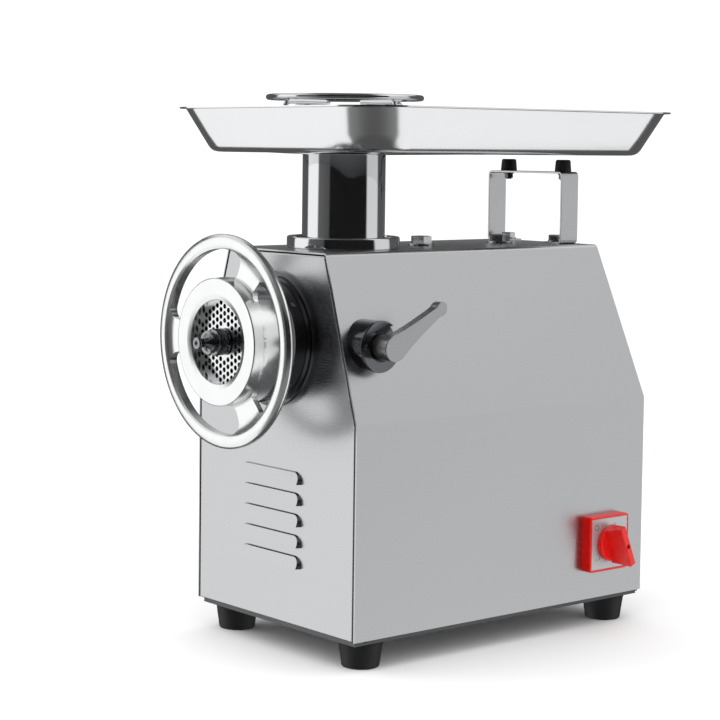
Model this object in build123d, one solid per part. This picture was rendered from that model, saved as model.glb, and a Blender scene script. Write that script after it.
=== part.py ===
from build123d import *
import os
from math import acos, atan, cos, degrees, hypot, pi, radians, sin, sqrt, tan

# Commercial electric meat grinder, millimetres, +Z up.
# The discharge end faces -Y, the clamp lever and the switch are on the +X side.
# The origin is on the floor, at the centre of the four feet.

# ---------------------------------------------------------------- driving dimensions
# Feet
FOOT_HEIGHT = 25.5
FOOT_TOP_R = 21.7
FOOT_BOTTOM_R = 17.8
FOOT_X = 96.5
FOOT_Y = 167.6
FOOT_RECESS_R = 7.5
FOOT_RECESS_DEPTH = 9.0
FOOT_SCREW_R = 3.0
SCREW_HEAD_R = 5.8
SCREW_HEAD_Z = 9.4
SCREW_HEAD_TOP_Z = 14.0

# Cabinet of folded sheet
SHEET = 1.5
FOLD_R = 4.0
PANEL_EDGE_R = 1.8
SEAM = 1.0
FLANGE_DEPTH = 14.0
FRONT_Y = -198.0
REAR_Y = 196.0
REAR_TOP_Y = 170.0
BODY_HALF = 122.7
TOP_HALF = 75.5
PANEL_BOTTOM_Z = 30.5
CREASE_Z = 233.5
TOP_Z = 390.5
PAN_INSET = 4.5
PAN_SHEET = 2.0
PAN_FLOOR = 2.5
PAN_TOP_Z = 52.0
SWITCH_HOLE_HALF = 20.0
LEVER_HOLE_R = 11.0

# Ventilation
LOUVER_COUNT = 5
LOUVER_PITCH = 20.35
LOUVER_FIRST_Z = 168.0
LOUVER_HALF = 46.0
LOUVER_X = -3.0
LOUVER_HEIGHT = 12.0
LOUVER_TOP_RISE = 1.6
LOUVER_RISE = 4.8
LOUVER_CORNER_R = 9.0
LOUVER_TAPER = 28.0
LOUVER_WALL = 1.2
VENT_ROWS = 8
VENT_FIRST_Z = 90.0
VENT_PITCH = 14.0
VENT_LENGTH = 70.0
VENT_WIDTH = 5.0

# Hand wheel and lock nut
AXIS_Z = 305.0
HUB_FACE_Y = -270.0
HUB_R = 60.5
HUB_LENGTH = 35.0
BORE_R = 40.2
CHAMFER_R = 45.5
CHAMFER_DEPTH = 1.4
PLATE_RECESS = 11.0
RIM_R = 102.0
RIM_INNER_R = 88.0
RIM_THICKNESS = 9.0
RIM_BEVEL = 2.6
WEB_THICKNESS = 6.0
SPOKE_WIDTH = 31.4
SLOT_CORNER_R = 9.0
THREAD_R = 50.0

# Cutting parts and auger
PLATE_R = 41.0
PLATE_THICKNESS = 9.0
PLATE_HOLE_R = 2.4
PLATE_PITCH = 6.7
PLATE_FIRST_R = 15.5
PLATE_LAST_R = 37.4
KNIFE_THICKNESS = 9.5
KNIFE_HUB_R = 14.0
KNIFE_SQUARE = 8.0
KEY_R = 3.0
BARREL_BORE_R = 38.5
BARREL_R = 48.0
BARREL_REAR_Y = -68.0
AUGER_R = 37.2
AUGER_CORE_R = 14.0
AUGER_TURNS = 3.25
AUGER_FLIGHT_ANGLE = 62.0
AUGER_REAR_Y = -78.0
TAIL_END_Y = -58.0
TAIL_HEX = 11.0
NOSE_R = 9.0
BOSS_R = 37.0
STUD_REACH = 22.0
STUD_BOSS_R = 12.8
STUD_HEAD_R = 5.9

# Neck on the front panel
SOCKET_R = 57.0
SOCKET_BORE_R = 50.4
SET_SCREW_R = 3.0
SET_SCREW_ANGLES = (38.0, -44.0, 142.0, 218.0)
SET_SCREW_Y = FRONT_Y - 16.0
CLAMP_SCREW_R = 8.0

# Feed tube and tray
FEED_Y = -113.4
FEED_R = 41.0
FEED_INNER_R = 38.8
FEED_TOP_Z = 483.2
FEED_FLANGE_R = 55.8
FEED_FLANGE_H = 11.5
TRAY_FLOOR_Z = 483.6
TRAY_RIM_Z = 528.0
TRAY_HALF_X = 162.0
TRAY_HALF_Y = 220.0
TRAY_Y = -3.5
TRAY_FLARE = 19.0
TRAY_LIP = 6.0
TRAY_CORNER_R = 49.0
TRAY_SHEET = 1.5
SPOUT_R = 38.3
SPOUT_LENGTH = 26.0

# Finger guard
GUARD_R = 75.0
GUARD_ROD_R = 2.8
GUARD_LEG_R = 2.4
GUARD_Z = 538.0
GUARD_FREE_R = 25.0
GUARD_BEND_R = 6.0

# Top bolts, tray bracket and bumpers
BOLT_Y_FRONT = -9.0
BOLT_Y_REAR = 102.8
BOLT_R = 6.0
BOLT_FLATS = 19.0
BOLT_HEAD = 7.5
BOLT_WASHER_R = 13.5
BOLT_WASHER = 2.0
BRACKET_Y = 150.5
BRACKET_WIDTH = 25.0
BRACKET_HALF = 54.5
BRACKET_FOOT = 27.0
BRACKET_TOP_Z = 466.0
BRACKET_SHEET = 2.0
BRACKET_BEND_R = 5.0
BRACKET_BOLT_X = 35.0
BRACKET_BOLT_R = 4.0
BRACKET_BOLT_FLATS = 13.0
BRACKET_BOLT_HEAD = 5.5
BRACKET_WASHER_R = 8.0
BRACKET_WASHER = 1.4
BUMPERS_X = (-36.0, 44.0)
BUMPER_H = 12.5
BUMPER_R = 8.6
BUMPER_TOP_R = 7.7
BUMPER_STUD_R = 3.0

# Clamp lever
LEVER_Y = -167.5
COLLAR_R = 24.5
COLLAR_FACE_X = 121.0
COLLAR_SCREW_R = 19.3
POCKET_R = 14.5
POCKET_FLOOR_X = COLLAR_FACE_X - 8.0
LEVER_END_X = 141.0
LEVER_ARM = 67.0
LEVER_ANGLE = 31.0
LEVER_HUB_R = 12.4
LEVER_TIP_R = 6.3
LEVER_THICKNESS = 10.0

# Switch
SWITCH_Y = 135.5
SWITCH_Z = 88.0
SWITCH_WIDTH = 57.0
SWITCH_HEIGHT = 57.0
SWITCH_DEPTH = 11.0
SWITCH_RIM = 2.4
SWITCH_BODY_HALF = 19.0
SWITCH_BODY_DEPTH = 52.0
KNOB_R = 18.0
KNOB_TILT = 22.5
KNOB_GAP = 0.3
KNOB_GRIP_H = 25.5
KNOB_GRIP_HALF = 21.5

# Gears
GEAR_MODULE = 2.5
OUTPUT_TEETH = 45
LAY_PINION_TEETH = 18
LAY_GEAR_TEETH = 66
MOTOR_PINION_TEETH = 20
PRESSURE_ANGLE = 20.0
BACKLASH = 0.3
OUTPUT_GEAR_Y = (-42.0, -20.0)
LAY_PINION_Y = (-44.0, -18.0)
LAY_GEAR_Y = (-13.0, -1.0)
MOTOR_PINION_Y = (-15.0, 1.0)

# Gearbox
CASE_WALL = 8.0
CASE_FRONT_Y = -62.0
CASE_REAR_Y = 12.0
CASE_TOP_Z = TOP_Z - 14.0
OUTPUT_SHAFT_R = 15.0
OUTPUT_COLLAR_R = 19.0
OUTPUT_BEARING_R = 31.0
OUTPUT_BEARING_Y = (-60.0, -44.0)
SEAL_R = 24.0
LAY_SHAFT_R = 10.0
LAY_BEARING_R = 17.5
LAY_FRONT_BEARING_Y = (-57.0, -46.0)
LAY_REAR_BEARING_Y = (1.5, 11.5)

# Motor
MOTOR_Y = (14.0, 150.0)
MOTOR_R = 66.0
MOTOR_SHAFT_R = 8.5
MOTOR_BEARING_R = 20.0
ROTOR_R = 34.0
STATOR_R = MOTOR_R - 4.0
STACK_Y = (45.0, 120.0)
FAN_Y = (156.0, 168.0)
FAN_R = 54.0
FAN_BLADES = 8
COWL_END_Y = 174.0

# Electrical parts
CAPACITOR_R = 20.0
GLAND_R = 8.0
GLAND_NUT_R = 12.0
GLAND_CAP_R = 9.5
GLAND_BORE_R = 4.2
GLAND_X = 70.0
GLAND_Z = 68.0

# ---------------------------------------------------------------- derived dimensions
SLOPE = atan((BODY_HALF - TOP_HALF) / (TOP_Z - CREASE_Z))
REAR_SLOPE = atan((REAR_Y - REAR_TOP_Y) / (TOP_Z - CREASE_Z))
NECK_TOP_Z = AXIS_Z + BARREL_R + 2.2
LAY_Z = AXIS_Z - GEAR_MODULE * (OUTPUT_TEETH + LAY_PINION_TEETH) / 2
MOTOR_Z = LAY_Z - GEAR_MODULE * (LAY_GEAR_TEETH + MOTOR_PINION_TEETH) / 2
PLATE_FRONT_Y = HUB_FACE_Y + PLATE_RECESS
PLATE_REAR_Y = PLATE_FRONT_Y + PLATE_THICKNESS
KNIFE_FRONT_Y = PLATE_REAR_Y + 0.2
KNIFE_REAR_Y = KNIFE_FRONT_Y + KNIFE_THICKNESS
FLANGE_FRONT_Y = FRONT_Y - 25.0
PAN_FLOOR_Z = FOOT_HEIGHT + PAN_FLOOR
RUNNING_GAP = 0.05
SCREW_GAP = 0.3

LEFT_RIGHT = (-1, 1)
FOOT_PLACES = [(sx * FOOT_X, sy * FOOT_Y) for sx in LEFT_RIGHT for sy in LEFT_RIGHT]


# ---------------------------------------------------------------- helpers
def cyl_x(radius, x0, x1, y=0.0, z=0.0):
    solid = Cylinder(radius, x1 - x0, align=(Align.CENTER, Align.CENTER, Align.MIN))
    return Pos(x0, y, z) * Rot(0, 90, 0) * solid


def cyl_y(radius, y0, y1, x=0.0, z=AXIS_Z):
    solid = Cylinder(radius, y1 - y0, align=(Align.CENTER, Align.CENTER, Align.MIN))
    return Pos(x, y0, z) * Rot(-90, 0, 0) * solid


def cyl_z(radius, z0, z1, x=0.0, y=0.0):
    return Pos(x, y, z0) * Cylinder(radius, z1 - z0, align=(Align.CENTER, Align.CENTER, Align.MIN))


def ring_y(outer, inner, y0, y1, x=0.0, z=AXIS_Z):
    return cyl_y(outer, y0, y1, x, z) - cyl_y(inner, y0 - 1, y1 + 1, x, z)


def ring_z(outer, inner, z0, z1, x=0.0, y=0.0):
    return cyl_z(outer, z0, z1, x, y) - cyl_z(inner, z0 - 1, z1 + 1, x, y)


def block(x0, x1, y0, y1, z0, z1):
    solid = Box(x1 - x0, y1 - y0, z1 - z0, align=(Align.MIN, Align.MIN, Align.MIN))
    return Pos(x0, y0, z0) * solid


def face_of(points):
    return make_face(Polyline(*points, close=True))


def turned(points, z=AXIS_Z):
    """Solid turned about a line along Y, from (radius, y) points."""
    return Pos(0, 0, z) * revolve(face_of(points), Axis.Y)


def prism_x(points, x0, x1):
    """Prism along X from (y, z) points."""
    return Pos(x0, 0, 0) * extrude(Plane.YZ * face_of(points), x1 - x0)


def prism_y(points, y0, y1):
    """Prism along Y from (x, z) points."""
    outline = Plane(origin=(0, y0, 0), x_dir=(1, 0, 0), z_dir=(0, -1, 0)) * face_of(points)
    return extrude(outline, y0 - y1)


def hexagon_z(across_flats, z0, z1, x=0.0, y=0.0):
    flat = RegularPolygon(across_flats / 2, 6, major_radius=False)
    return Pos(x, y, z0) * extrude(flat, z1 - z0)


def group(solids):
    return Compound(children=list(solids))


def save(name, shape):
    export_step(shape, f"parts/{name}.step")


# ---------------------------------------------------------------- cabinet
def section_points(inset, bottom):
    """Cabinet cross-section outline, moved inwards by inset."""
    crease = CREASE_Z - inset * tan(SLOPE / 2)
    top = TOP_Z - inset
    upper = BODY_HALF - inset / cos(SLOPE) - (top - CREASE_Z) * tan(SLOPE)
    lower = BODY_HALF - inset
    return [(-lower, bottom), (lower, bottom), (lower, crease), (upper, top), (-upper, top), (-lower, crease)]


def side_points(front, rear_inset, bottom, top):
    """Cabinet side outline with the rear edge moved inwards by rear_inset."""
    crease = CREASE_Z - rear_inset * tan(REAR_SLOPE / 2)
    rear = REAR_Y - rear_inset
    rear_top = REAR_Y - rear_inset / cos(REAR_SLOPE) - (top - CREASE_Z) * tan(REAR_SLOPE)
    return [(front, bottom), (rear, bottom), (rear, crease), (rear_top, top), (front, top)]


def round_top(solid, radius):
    folds = solid.edges().filter_by(Axis.Y).filter_by(lambda e: e.center().Z > TOP_Z - 6)
    return fillet(folds, radius)


def cabinet_block(inset, front, rear_inset, bottom):
    across = prism_y(section_points(inset, bottom), FRONT_Y - 50, REAR_Y + 50)
    along = prism_x(side_points(front, rear_inset, bottom - 1, TOP_Z + 1), -BODY_HALF - 5, BODY_HALF + 5)
    return across & along


def make_wrap_cover():
    outer = cabinet_block(0.0, FRONT_Y, 0.0, PANEL_BOTTOM_Z)
    inner = prism_y(section_points(SHEET, PANEL_BOTTOM_Z - 5), FRONT_Y - 5, REAR_Y + 5)
    cover = round_top(outer, FOLD_R) - round_top(inner, FOLD_R - SHEET)
    cover -= cyl_z(FEED_R + 0.5, TOP_Z - 10, TOP_Z + 10, 0, FEED_Y)
    for y in (BOLT_Y_FRONT, BOLT_Y_REAR):
        cover -= cyl_z(BOLT_R + SCREW_GAP, TOP_Z - 10, TOP_Z + 10, 0, y)
    for side in LEFT_RIGHT:
        cover -= cyl_z(BRACKET_BOLT_R + SCREW_GAP, TOP_Z - 10, TOP_Z + 10, side * BRACKET_BOLT_X, BRACKET_Y)
    cover -= cyl_x(LEVER_HOLE_R, 60, BODY_HALF + 5, LEVER_Y, AXIS_Z)
    half = SWITCH_HOLE_HALF
    low_z = SWITCH_Z - half
    return cover - block(BODY_HALF - 8, BODY_HALF + 8, SWITCH_Y - half, SWITCH_Y + half, low_z, SWITCH_Z + half)


def louver_hood(z, inset):
    """Pressed hood above its open lower edge at z: sloping ends, and a front that leans out downwards."""
    outline = RectangleRounded(2 * (LOUVER_HALF - inset), 2 * (LOUVER_HEIGHT - inset), LOUVER_CORNER_R - inset)
    plane = Plane(origin=(LOUVER_X, FRONT_Y, z), x_dir=(1, 0, 0), z_dir=(0, -1, 0))
    hood = extrude(plane * outline, LOUVER_RISE + 1, taper=LOUVER_TAPER) + extrude(plane * outline, -SHEET)
    low_y = FRONT_Y - LOUVER_RISE + inset
    high_y = FRONT_Y - LOUVER_TOP_RISE + inset
    rear_y = FRONT_Y + SHEET
    top_z = z + LOUVER_HEIGHT
    return hood & prism_x([(rear_y, z), (low_y, z), (high_y, top_z), (rear_y, top_z)], -90, 90)


def make_front_panel():
    """Front sheet with its rim folded back, five hoods and the opening for the neck."""
    gap = SHEET + SEAM
    panel = round_top(prism_y(section_points(gap, PANEL_BOTTOM_Z), FRONT_Y, FRONT_Y + FLANGE_DEPTH), FOLD_R)
    panel = fillet(panel.faces().sort_by(Axis.Y)[0].edges(), PANEL_EDGE_R)
    panel -= prism_y(section_points(gap + SHEET, PANEL_BOTTOM_Z + SHEET), FRONT_Y + SHEET, FRONT_Y + 20)
    panel -= cyl_y(SOCKET_R + 0.5, FRONT_Y - 5, FRONT_Y + 20)
    for index in range(LOUVER_COUNT):
        z = LOUVER_FIRST_Z - index * LOUVER_PITCH
        panel += louver_hood(z, 0.0)
        panel -= louver_hood(z - 0.01, LOUVER_WALL)
    return panel


def make_rear_panel():
    gap = SHEET + SEAM
    bottom = PANEL_BOTTOM_Z
    across = round_top(prism_y(section_points(gap, bottom), REAR_TOP_Y - 60, REAR_Y + 20), FOLD_R)
    outer = prism_x(side_points(REAR_TOP_Y - 40, 0.0, bottom - 1, TOP_Z + 1), -BODY_HALF, BODY_HALF)
    inner = prism_x(side_points(FRONT_Y, SHEET, bottom - 2, TOP_Z + 2), -BODY_HALF, BODY_HALF)
    panel = (across & outer) - inner
    for row in range(VENT_ROWS):
        z = VENT_FIRST_Z + row * VENT_PITCH
        slot = extrude(Plane.XZ * SlotOverall(VENT_LENGTH, VENT_WIDTH), 30, both=True)
        panel -= Pos(0, REAR_Y, z) * slot
    panel -= cyl_y(GLAND_R + 0.2, REAR_Y - 8, REAR_Y + 8, GLAND_X, GLAND_Z)
    return panel


def make_base_pan():
    """Folded pan set back under the panels, which carries the feet, the gearbox and the motor."""
    half = BODY_HALF - SHEET - 0.6
    lower_half = BODY_HALF - PAN_INSET
    front = FRONT_Y + FLANGE_DEPTH + 2.5
    lower_front = FRONT_Y + PAN_INSET
    rear = REAR_Y - SHEET - 0.6
    shelf_z = PANEL_BOTTOM_Z - 2.0
    pan = block(-lower_half, lower_half, lower_front, rear, FOOT_HEIGHT, PANEL_BOTTOM_Z - 1.0)
    pan += block(-half, half, front, rear, shelf_z, PAN_TOP_Z)
    wide = half - PAN_SHEET
    narrow = lower_half - PAN_SHEET
    pan -= block(-narrow, narrow, front + PAN_SHEET, rear - PAN_SHEET, PAN_FLOOR_Z, PAN_TOP_Z + 5)
    pan -= block(-wide, wide, front + PAN_SHEET, rear - PAN_SHEET, PANEL_BOTTOM_Z, PAN_TOP_Z + 5)
    pan -= block(-narrow, narrow, lower_front + PAN_SHEET, front + 3, PAN_FLOOR_Z, PANEL_BOTTOM_Z + 3)
    for x, y in FOOT_PLACES:
        pan -= cyl_z(FOOT_SCREW_R + SCREW_GAP, FOOT_HEIGHT - 5, 40, x, y)
    return pan


def make_foot(x, y):
    foot = Pos(x, y, FOOT_HEIGHT / 2) * Cone(FOOT_BOTTOM_R, FOOT_TOP_R, FOOT_HEIGHT)
    foot = fillet(foot.edges().sort_by(Axis.Z)[0], 1.5)
    foot -= cyl_z(FOOT_RECESS_R, -1, FOOT_RECESS_DEPTH, x, y)
    foot -= cyl_z(SCREW_HEAD_R + 0.4, FOOT_RECESS_DEPTH - 0.5, SCREW_HEAD_TOP_Z, x, y)
    foot -= cyl_z(FOOT_SCREW_R, 10, FOOT_HEIGHT + 1, x, y)
    return foot


def make_foot_screw(x, y):
    screw = cyl_z(SCREW_HEAD_R, SCREW_HEAD_Z, SCREW_HEAD_TOP_Z, x, y)
    screw += cyl_z(FOOT_SCREW_R, SCREW_HEAD_TOP_Z - 1, 38.0, x, y)
    return screw - hexagon_z(4.0, SCREW_HEAD_Z - 1, SCREW_HEAD_Z + 2.5, x, y)


def make_foot_nut(x, y):
    nut = hexagon_z(10.0, PAN_FLOOR_Z, PAN_FLOOR_Z + 5.0, x, y)
    return nut - cyl_z(FOOT_SCREW_R, PAN_FLOOR_Z - 1, PAN_FLOOR_Z + 6, x, y)


# ---------------------------------------------------------------- grinding head
def make_front_flange():
    """Turned collar bolted to the front: base lip against the panel and a barrel collar."""
    lip = FRONT_Y - 6.5
    profile = [(SOCKET_R, FRONT_Y), (66.0, FRONT_Y), (66.0, lip + 1.5), (64.5, lip), (61.5, lip)]
    profile += [(60.0, lip - 2.5), (60.0, FLANGE_FRONT_Y + 2.0), (58.0, FLANGE_FRONT_Y)]
    profile += [(SOCKET_R, FLANGE_FRONT_Y)]
    flange = turned(profile)
    for angle in SET_SCREW_ANGLES:
        flange -= Pos(0, SET_SCREW_Y, AXIS_Z) * Rot(0, -angle, 0) * cyl_x(SET_SCREW_R, 50, 70)
    return flange


def make_flange_set_screw(angle):
    screw = cyl_x(SET_SCREW_R, SOCKET_R, 59.4)
    socket = Plane.YZ.offset(58.0) * RegularPolygon(1.5, 6, major_radius=False)
    screw -= extrude(socket, 5)
    return Pos(0, SET_SCREW_Y, AXIS_Z) * Rot(0, -angle, 0) * screw


def make_head_socket():
    """Sleeve that the barrel slides into, with the threaded boss of the clamp screw."""
    rear = LEVER_Y + 11.5
    socket = cyl_y(SOCKET_R, FLANGE_FRONT_Y, rear) + cyl_x(11.5, 40, 74.0, LEVER_Y, AXIS_Z)
    socket -= cyl_y(SOCKET_BORE_R, FLANGE_FRONT_Y - 1, rear + 1)
    return socket - cyl_x(CLAMP_SCREW_R + RUNNING_GAP, 40, 80, LEVER_Y, AXIS_Z)


def make_barrel():
    front = PLATE_FRONT_Y + 1.0
    thread_end = HUB_FACE_Y + HUB_LENGTH + 2.0
    outer = [(0, front), (THREAD_R, front), (THREAD_R, thread_end), (48.6, thread_end + 1.5)]
    outer += [(48.6, FLANGE_FRONT_Y - 1.0), (SOCKET_BORE_R - 0.1, FLANGE_FRONT_Y - 1.0)]
    outer += [(SOCKET_BORE_R - 0.1, LEVER_Y + 10), (BARREL_R, LEVER_Y + 12)]
    outer += [(BARREL_R, BARREL_REAR_Y), (0, BARREL_REAR_Y)]
    barrel = turned(outer)
    barrel += cyl_z(FEED_R + 1.5, AXIS_Z, NECK_TOP_Z, 0, FEED_Y)
    barrel -= cyl_y(PLATE_R + 0.2, front - 1, PLATE_REAR_Y)
    barrel -= cyl_y(BARREL_BORE_R, front, BARREL_REAR_Y - 6)
    barrel -= cyl_y(BOSS_R + 0.1, BARREL_REAR_Y - 8, BARREL_REAR_Y + 1)
    barrel -= cyl_z(FEED_INNER_R, AXIS_Z, NECK_TOP_Z + 1, 0, FEED_Y)
    return barrel - cyl_y(KEY_R, front - 1, PLATE_REAR_Y, 0, AXIS_Z - PLATE_R)


def make_auger():
    length = abs(KNIFE_REAR_Y - AUGER_REAR_Y)
    root = Circle(AUGER_CORE_R)
    span = radians(AUGER_FLIGHT_ANGLE)
    arc_points = [(AUGER_R * cos(span * i / 12), AUGER_R * sin(span * i / 12)) for i in range(13)]
    edge = ThreePointArc(arc_points[0], arc_points[6], arc_points[12])
    flight = make_face([Line((0, 0), arc_points[0]), edge, Line(arc_points[12], (0, 0))])
    section = (root + flight).face()
    twisted = Solid.extrude_linear_with_rotation(section, (0, 0, 0), (0, 0, length), 360 * AUGER_TURNS)
    screw = Pos(0, KNIFE_REAR_Y, AXIS_Z) * Rot(-90, 0, 0) * Part(twisted.wrapped)
    half = KNIFE_SQUARE
    square = block(-half, half, PLATE_FRONT_Y, KNIFE_REAR_Y + 1, AXIS_Z - half, AXIS_Z + half)
    journal = square & cyl_y(10.0, KNIFE_FRONT_Y, KNIFE_REAR_Y + 1)
    nose = cyl_y(NOSE_R, PLATE_FRONT_Y - 1.0, KNIFE_FRONT_Y)
    tail = cyl_y(10.5, AUGER_REAR_Y - 0.5, TAIL_END_Y - 14)
    drive = extrude(RegularPolygon(TAIL_HEX, 6, major_radius=False), 15)
    return screw + journal + nose + tail + Pos(0, TAIL_END_Y - 15, AXIS_Z) * Rot(-90, 0, 0) * drive


def make_auger_stud():
    """Turned stud screwed into the auger nose: boss, flared collar, stem and centre-drilled tip."""
    back = PLATE_FRONT_Y - 1.0
    tip = HUB_FACE_Y - STUD_REACH
    points = [(0, back), (STUD_BOSS_R, back), (STUD_BOSS_R, tip + 19.5), (11.5, tip + 14), (11.2, tip + 13)]
    points += [(8.5, tip + 12.5), (5.5, tip + 11), (4.2, tip + 8.5), (4.0, tip + 5), (STUD_HEAD_R, tip + 4)]
    points += [(STUD_HEAD_R, tip + 1), (5.0, tip), (2.2, tip), (0, tip + 2.5)]
    return turned(points)


def make_knife():
    blade_points = [(9, -6.5), (34, -4.0), (36.5, -1.0), (36.5, 4.5), (30, 5.5), (9, 7.5)]
    knife = cyl_y(KNIFE_HUB_R, KNIFE_FRONT_Y, KNIFE_REAR_Y)
    for turn in range(4):
        blade = prism_y(blade_points, KNIFE_FRONT_Y, KNIFE_REAR_Y - 1.5)
        knife += Pos(0, 0, AXIS_Z) * Rot(0, 90 * turn, 0) * blade
    half = KNIFE_SQUARE + RUNNING_GAP
    hole = block(-half, half, KNIFE_FRONT_Y - 1, KNIFE_REAR_Y + 1, AXIS_Z - half, AXIS_Z + half)
    return knife - (hole & cyl_y(10.05, KNIFE_FRONT_Y - 1, KNIFE_REAR_Y + 1))


def make_grinding_plate():
    plate = cyl_y(PLATE_R, PLATE_FRONT_Y, PLATE_REAR_Y)
    plate -= cyl_y(NOSE_R + RUNNING_GAP, PLATE_FRONT_Y - 1, PLATE_REAR_Y + 1)
    row_step = PLATE_PITCH * sqrt(3) / 2
    places = []
    for column in range(-7, 8):
        shift = PLATE_PITCH / 2 if column % 2 else 0.0
        for row in range(-7, 8):
            x = column * row_step
            z = row * PLATE_PITCH + shift
            if PLATE_FIRST_R < hypot(x, z) < PLATE_LAST_R:
                places.append((x, z))
    holes = Sketch() + [Pos(x, z) * Circle(PLATE_HOLE_R) for x, z in places]
    cutter = extrude(Plane(origin=(0, PLATE_REAR_Y + 1, AXIS_Z), x_dir=(1, 0, 0), z_dir=(0, -1, 0)) * holes,
                     PLATE_THICKNESS + 2)
    plate -= cutter
    return plate - cyl_y(KEY_R + 0.1, PLATE_FRONT_Y - 1, PLATE_REAR_Y + 1, 0, AXIS_Z - PLATE_R)


def arc_slot(inner, outer, start, end, end_radius):
    """Flat arc slot with rounded corners, angles in degrees from +X."""
    middle = (start + end) / 2

    def at(radius, angle):
        return (radius * cos(radians(angle)), radius * sin(radians(angle)))

    outline = make_face([
        ThreePointArc(at(outer, start), at(outer, middle), at(outer, end)),
        Line(at(outer, end), at(inner, end)),
        ThreePointArc(at(inner, end), at(inner, middle), at(inner, start)),
        Line(at(inner, start), at(outer, start)),
    ])
    return fillet(outline.vertices(), end_radius)


def make_ring_nut():
    """Hand wheel and lock nut in one casting: hub, inside thread, web with three slots, round rim."""
    rear = HUB_FACE_Y + HUB_LENGTH
    lip = PLATE_FRONT_Y
    body = [(BORE_R, lip), (BORE_R, HUB_FACE_Y + CHAMFER_DEPTH), (CHAMFER_R, HUB_FACE_Y)]
    body += [(HUB_R - 1, HUB_FACE_Y), (HUB_R, HUB_FACE_Y + 1), (HUB_R, rear)]
    body += [(THREAD_R + 0.3, rear), (THREAD_R + 0.3, lip)]
    nut = turned(body)
    web_y = HUB_FACE_Y + 10.0
    web = ring_y(RIM_INNER_R + 4, HUB_R - 2, web_y, web_y + WEB_THICKNESS)
    half_spoke = degrees(SPOKE_WIDTH / 2 / 75.0)
    sketch = Sketch()
    for index in range(3):
        start = 60 + 120 * index + half_spoke
        sketch += arc_slot(HUB_R + 0.5, RIM_INNER_R, start, start + 120 - 2 * half_spoke, SLOT_CORNER_R)
    wheel_plane = Plane(origin=(0, web_y + WEB_THICKNESS + 1, AXIS_Z), x_dir=(1, 0, 0), z_dir=(0, -1, 0))
    web -= extrude(wheel_plane * sketch, WEB_THICKNESS + 2)
    rim_y = HUB_FACE_Y + 5.5
    bevel = RIM_BEVEL
    rim = [(RIM_INNER_R, rim_y + bevel), (RIM_INNER_R + bevel, rim_y)]
    rim += [(RIM_R - bevel, rim_y), (RIM_R, rim_y + bevel)]
    rim += [(RIM_R, rim_y + RIM_THICKNESS - bevel), (RIM_R - bevel, rim_y + RIM_THICKNESS)]
    rim += [(RIM_INNER_R + bevel, rim_y + RIM_THICKNESS), (RIM_INNER_R, rim_y + RIM_THICKNESS - bevel)]
    return nut + web + turned(rim)


# ---------------------------------------------------------------- feed tube, tray, guard
def make_feed_tube():
    return ring_z(FEED_R, FEED_INNER_R, NECK_TOP_Z, FEED_TOP_Z, 0, FEED_Y)


def make_feed_flange():
    flange = ring_z(FEED_FLANGE_R, FEED_R, TOP_Z, TOP_Z + FEED_FLANGE_H, 0, FEED_Y)
    rims = flange.edges().filter_by(GeomType.CIRCLE).filter_by(lambda e: e.radius > FEED_R + 2)
    return fillet(rims, 1.2)


def tray_section(grow, z, corner_r=TRAY_CORNER_R):
    half_x = TRAY_HALF_X - TRAY_LIP + grow
    half_y = TRAY_HALF_Y - TRAY_LIP + grow
    return Pos(0, TRAY_Y, z) * RectangleRounded(2 * half_x, 2 * half_y, corner_r)


def tray_bowl(offset, lift):
    """Stack of lofts: rounded floor corner, then the straight flared wall."""
    depth = TRAY_RIM_Z - TRAY_FLOOR_Z
    slope = TRAY_FLARE / depth
    floor = TRAY_FLOOR_Z + lift
    heights = [(0.0, -TRAY_FLARE - 5.0), (1.6, -TRAY_FLARE - 1.2)]
    heights += [(6.0, 6.0 * slope - TRAY_FLARE), (depth - lift, 0.0)]
    corner_r = TRAY_CORNER_R - offset
    solid = None
    for (low, low_grow), (high, high_grow) in zip(heights, heights[1:]):
        lower = tray_section(low_grow - offset, floor + low, corner_r)
        piece = loft([lower, tray_section(high_grow - offset, floor + high, corner_r)])
        solid = piece if solid is None else solid + piece
    return solid


def make_tray():
    tray = tray_bowl(0.0, 0.0)
    tray += extrude(tray_section(TRAY_LIP, TRAY_RIM_Z - TRAY_SHEET, TRAY_CORNER_R + TRAY_LIP), TRAY_SHEET)
    tray -= tray_bowl(TRAY_SHEET, TRAY_SHEET)
    tray -= cyl_z(SPOUT_R - TRAY_SHEET, TRAY_FLOOR_Z - 5, TRAY_FLOOR_Z + 5, 0, FEED_Y)
    return tray


def make_tray_spout():
    return ring_z(SPOUT_R, SPOUT_R - TRAY_SHEET, TRAY_FLOOR_Z - SPOUT_LENGTH, TRAY_FLOOR_Z, 0, FEED_Y)


def make_guard_ring():
    return Pos(0, FEED_Y, GUARD_Z) * Torus(GUARD_R, GUARD_ROD_R)


def make_guard_leg(angle):
    bar_z = GUARD_Z - GUARD_ROD_R - GUARD_LEG_R + 0.4
    foot = (GUARD_R, 0, TRAY_FLOOR_Z + TRAY_SHEET)
    path = FilletPolyline(foot, (GUARD_R, 0, bar_z), (GUARD_FREE_R, 0, bar_z), radius=GUARD_BEND_R)
    section = Plane(origin=path @ 0, z_dir=path % 0) * Circle(GUARD_LEG_R)
    leg = sweep(section, path)
    return Pos(0, FEED_Y, 0) * Rot(0, 0, angle) * leg


# ---------------------------------------------------------------- top bolts, tray bracket
def make_top_washer(y):
    return ring_z(BOLT_WASHER_R, BOLT_R + SCREW_GAP, TOP_Z, TOP_Z + BOLT_WASHER, 0, y)


def make_top_bolt(y):
    seat = TOP_Z + BOLT_WASHER
    return hexagon_z(BOLT_FLATS, seat, seat + BOLT_HEAD, 0, y) + cyl_z(BOLT_R, CASE_TOP_Z, seat + 1.0, 0, y)


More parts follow.
